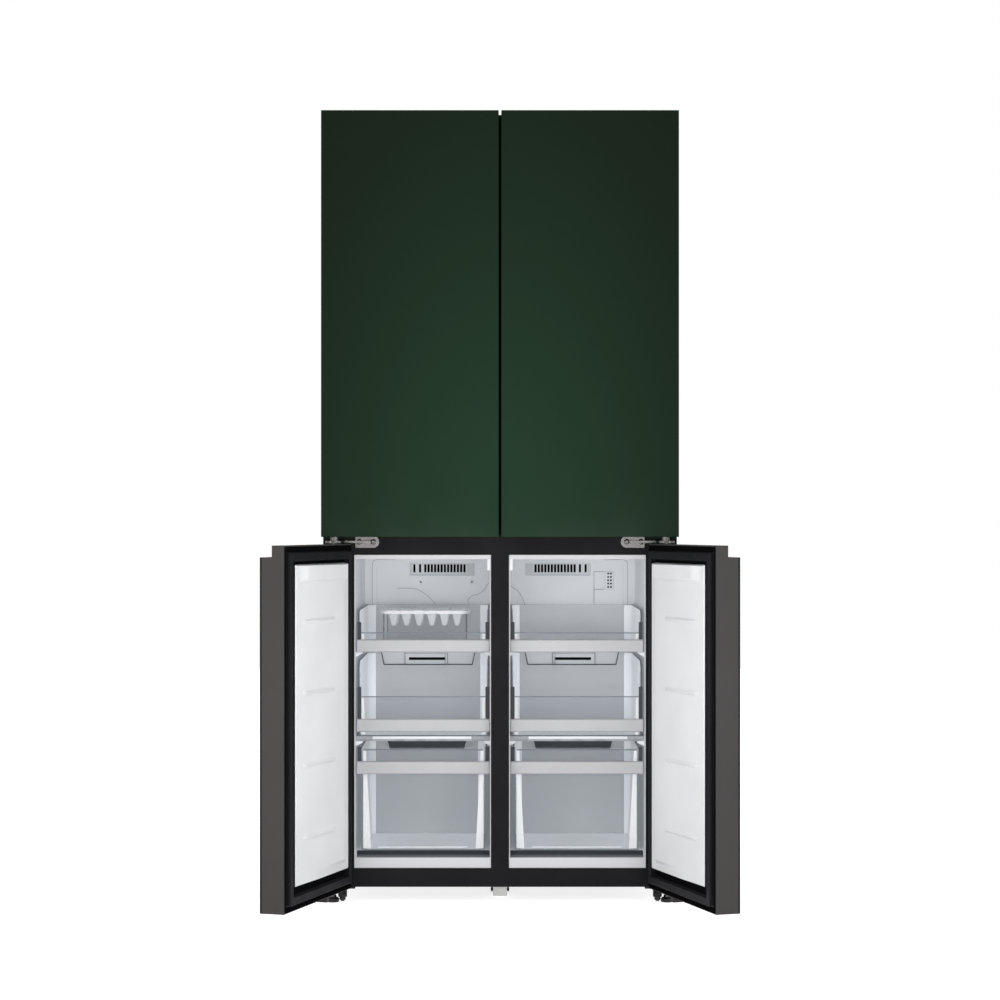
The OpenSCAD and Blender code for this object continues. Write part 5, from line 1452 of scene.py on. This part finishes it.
@dataclass
class Studio:
    """The camera, the floor, the background and the lamps.

    Attributes:
        front: Y of the front frame.
        eye: height of the camera above the floor.
        distance: distance from the camera to the front frame.
        focal: focal length in image widths.
        rise: share of the picture by which the horizon lies below its middle.
        level: brightness of the light from all round.
        sensor: width of the camera's sensor in millimetres.
        floor_half: half the width of the floor.
        lift: light that the floor adds of its own where it is seen.
    """

    front: float = FRONT
    eye: float = 0.904
    distance: float = 5.783
    focal: float = 2.45
    rise: float = 0.02
    level: float = 0.7
    sensor: float = 36.0
    floor_half: float = 9.0
    lift: float = 0.8

    def build(self) -> None:
        """Set up everything."""
        front = self.front
        self.camera()
        self.world()
        self.floor()
        self.softbox("key", (0.0, front - 5.2, 0.48), (0.0, front, 0.6), (1.6, 0.3), 26.0)
        for side in Side:
            x, word = side.value, side.word
            self.softbox(f"low_{word}", (x * 1.7, front - 4.8, 0.6), (0.0, front, 0.5), (1.0, 0.9), 20.0)
            self.softbox(f"fill_{word}", (x * 2.4, front - 1.6, 0.6), (0.0, front, 0.5), (0.8, 1.0), 14.0)
            self.softbox(f"bay_{word}", (x * 0.20, front - 1.0, 0.60), (x * 0.183, front + 0.3, 0.44),
                         (0.30, 0.5), 1.9)
        self.softbox("back", (0.0, front + 4.5, 2.6), (0.0, front + 0.4, 1.0), (3.0, 2.0), 60.0)
        bpy.context.scene.view_settings.view_transform = "Standard"

    def camera(self) -> None:
        """A level camera in front of the middle, shifted so that the horizon lies low."""
        data = bpy.data.cameras.new("camera")
        data.sensor_width = self.sensor
        data.lens = self.focal * self.sensor
        data.shift_y = self.rise
        camera = bpy.data.objects.new("camera", data)
        camera.location = (0.0, self.front - self.distance, self.eye)
        camera.rotation_euler = (math.pi / 2, 0.0, 0.0)
        bpy.context.scene.collection.objects.link(camera)
        bpy.context.scene.camera = camera

    def seen(self, graph: NodeGraph) -> Socket:
        """1 for the rays that show the background: those of the camera, of gloss and through glass."""
        ray = graph.add("LightPath").outputs
        direct = graph.math("MAXIMUM", ray["Is Camera Ray"], ray["Is Glossy Ray"])
        return graph.math("MAXIMUM", direct, ray["Is Transmission Ray"])

    def world(self) -> None:
        """White where it is seen, and a plain level of light all round."""
        graph = NodeGraph(bpy.data.worlds.new("studio"))
        light, white = (graph.add("Background", {"Color": (1, 1, 1, 1), "Strength": strength}).outputs[0]
                        for strength in (self.level, 1.0))
        mix = graph.add("MixShader", {0: self.seen(graph), 1: light, 2: white})
        bpy.context.scene.world = graph.finish(mix)

    def floor(self) -> None:
        """A pale floor: its own light is added where it is seen, so that only its shadows show."""
        mesh = bpy.data.meshes.new("floor")
        square = corners((-self.floor_half, -self.floor_half), (self.floor_half, self.floor_half))[::-1]
        mesh.from_pydata(Plane.XY.lift(square, 0.0).tolist(), [], [(0, 1, 2, 3)])
        floor = bpy.data.objects.new("floor", mesh)
        bpy.context.scene.collection.objects.link(floor)
        graph = NodeGraph(bpy.data.materials.new("pale_floor"))
        cloud = graph.noise(graph.place(), 3.0)
        tone = graph.blend(graph.spread(cloud, 0, 1), (0.80, 0.80, 0.80, 1), (0.82, 0.82, 0.82, 1))
        matt = graph.add("BsdfDiffuse", {"Color": tone}).outputs[0]
        glow = graph.add("Emission", {"Color": (1, 1, 1, 1), "Strength": self.lift}).outputs[0]
        both = graph.add("AddShader", {0: matt, 1: glow}).outputs[0]
        pick = graph.add("MixShader", {0: self.seen(graph), 1: matt, 2: both})
        mesh.materials.append(graph.finish(pick))

    def softbox(self, name: str, where: Point, target: Point, size: Pair, watts: float) -> None:
        """A rectangular lamp that points at a target.

        Args:
            name: the lamp's name.
            where: its place.
            target: the point that it faces.
            size: its width and height.
            watts: its power.
        """
        data = bpy.data.lights.new(name, "AREA")
        data.shape = "RECTANGLE"
        data.size, data.size_y = size
        data.energy = watts
        lamp = bpy.data.objects.new(name, data)
        lamp.location = where
        lamp.rotation_euler = (Vector(target) - Vector(where)).to_track_quat("-Z", "Y").to_euler()
        lamp.visible_camera = False
        bpy.context.scene.collection.objects.link(lamp)


def main() -> None:
    """Dress the frame, add the pieces and set up the studio."""
    logging.basicConfig(level=logging.INFO, format="%(message)s")
    dress_frame()
    for side in Side:
        for assembly in (Door(side, upper=True), Door(side, upper=False), FreezerBack(side),
                         MiddleHinge(side), *(DrawerTrim(side, level) for level in Level)):
            assembly.build()
    for assembly in (IceMaker(), FridgeTrim(), RunningGear(), RearTrim(), Studio()):
        assembly.build()


if __name__ == "__main__":
    main()
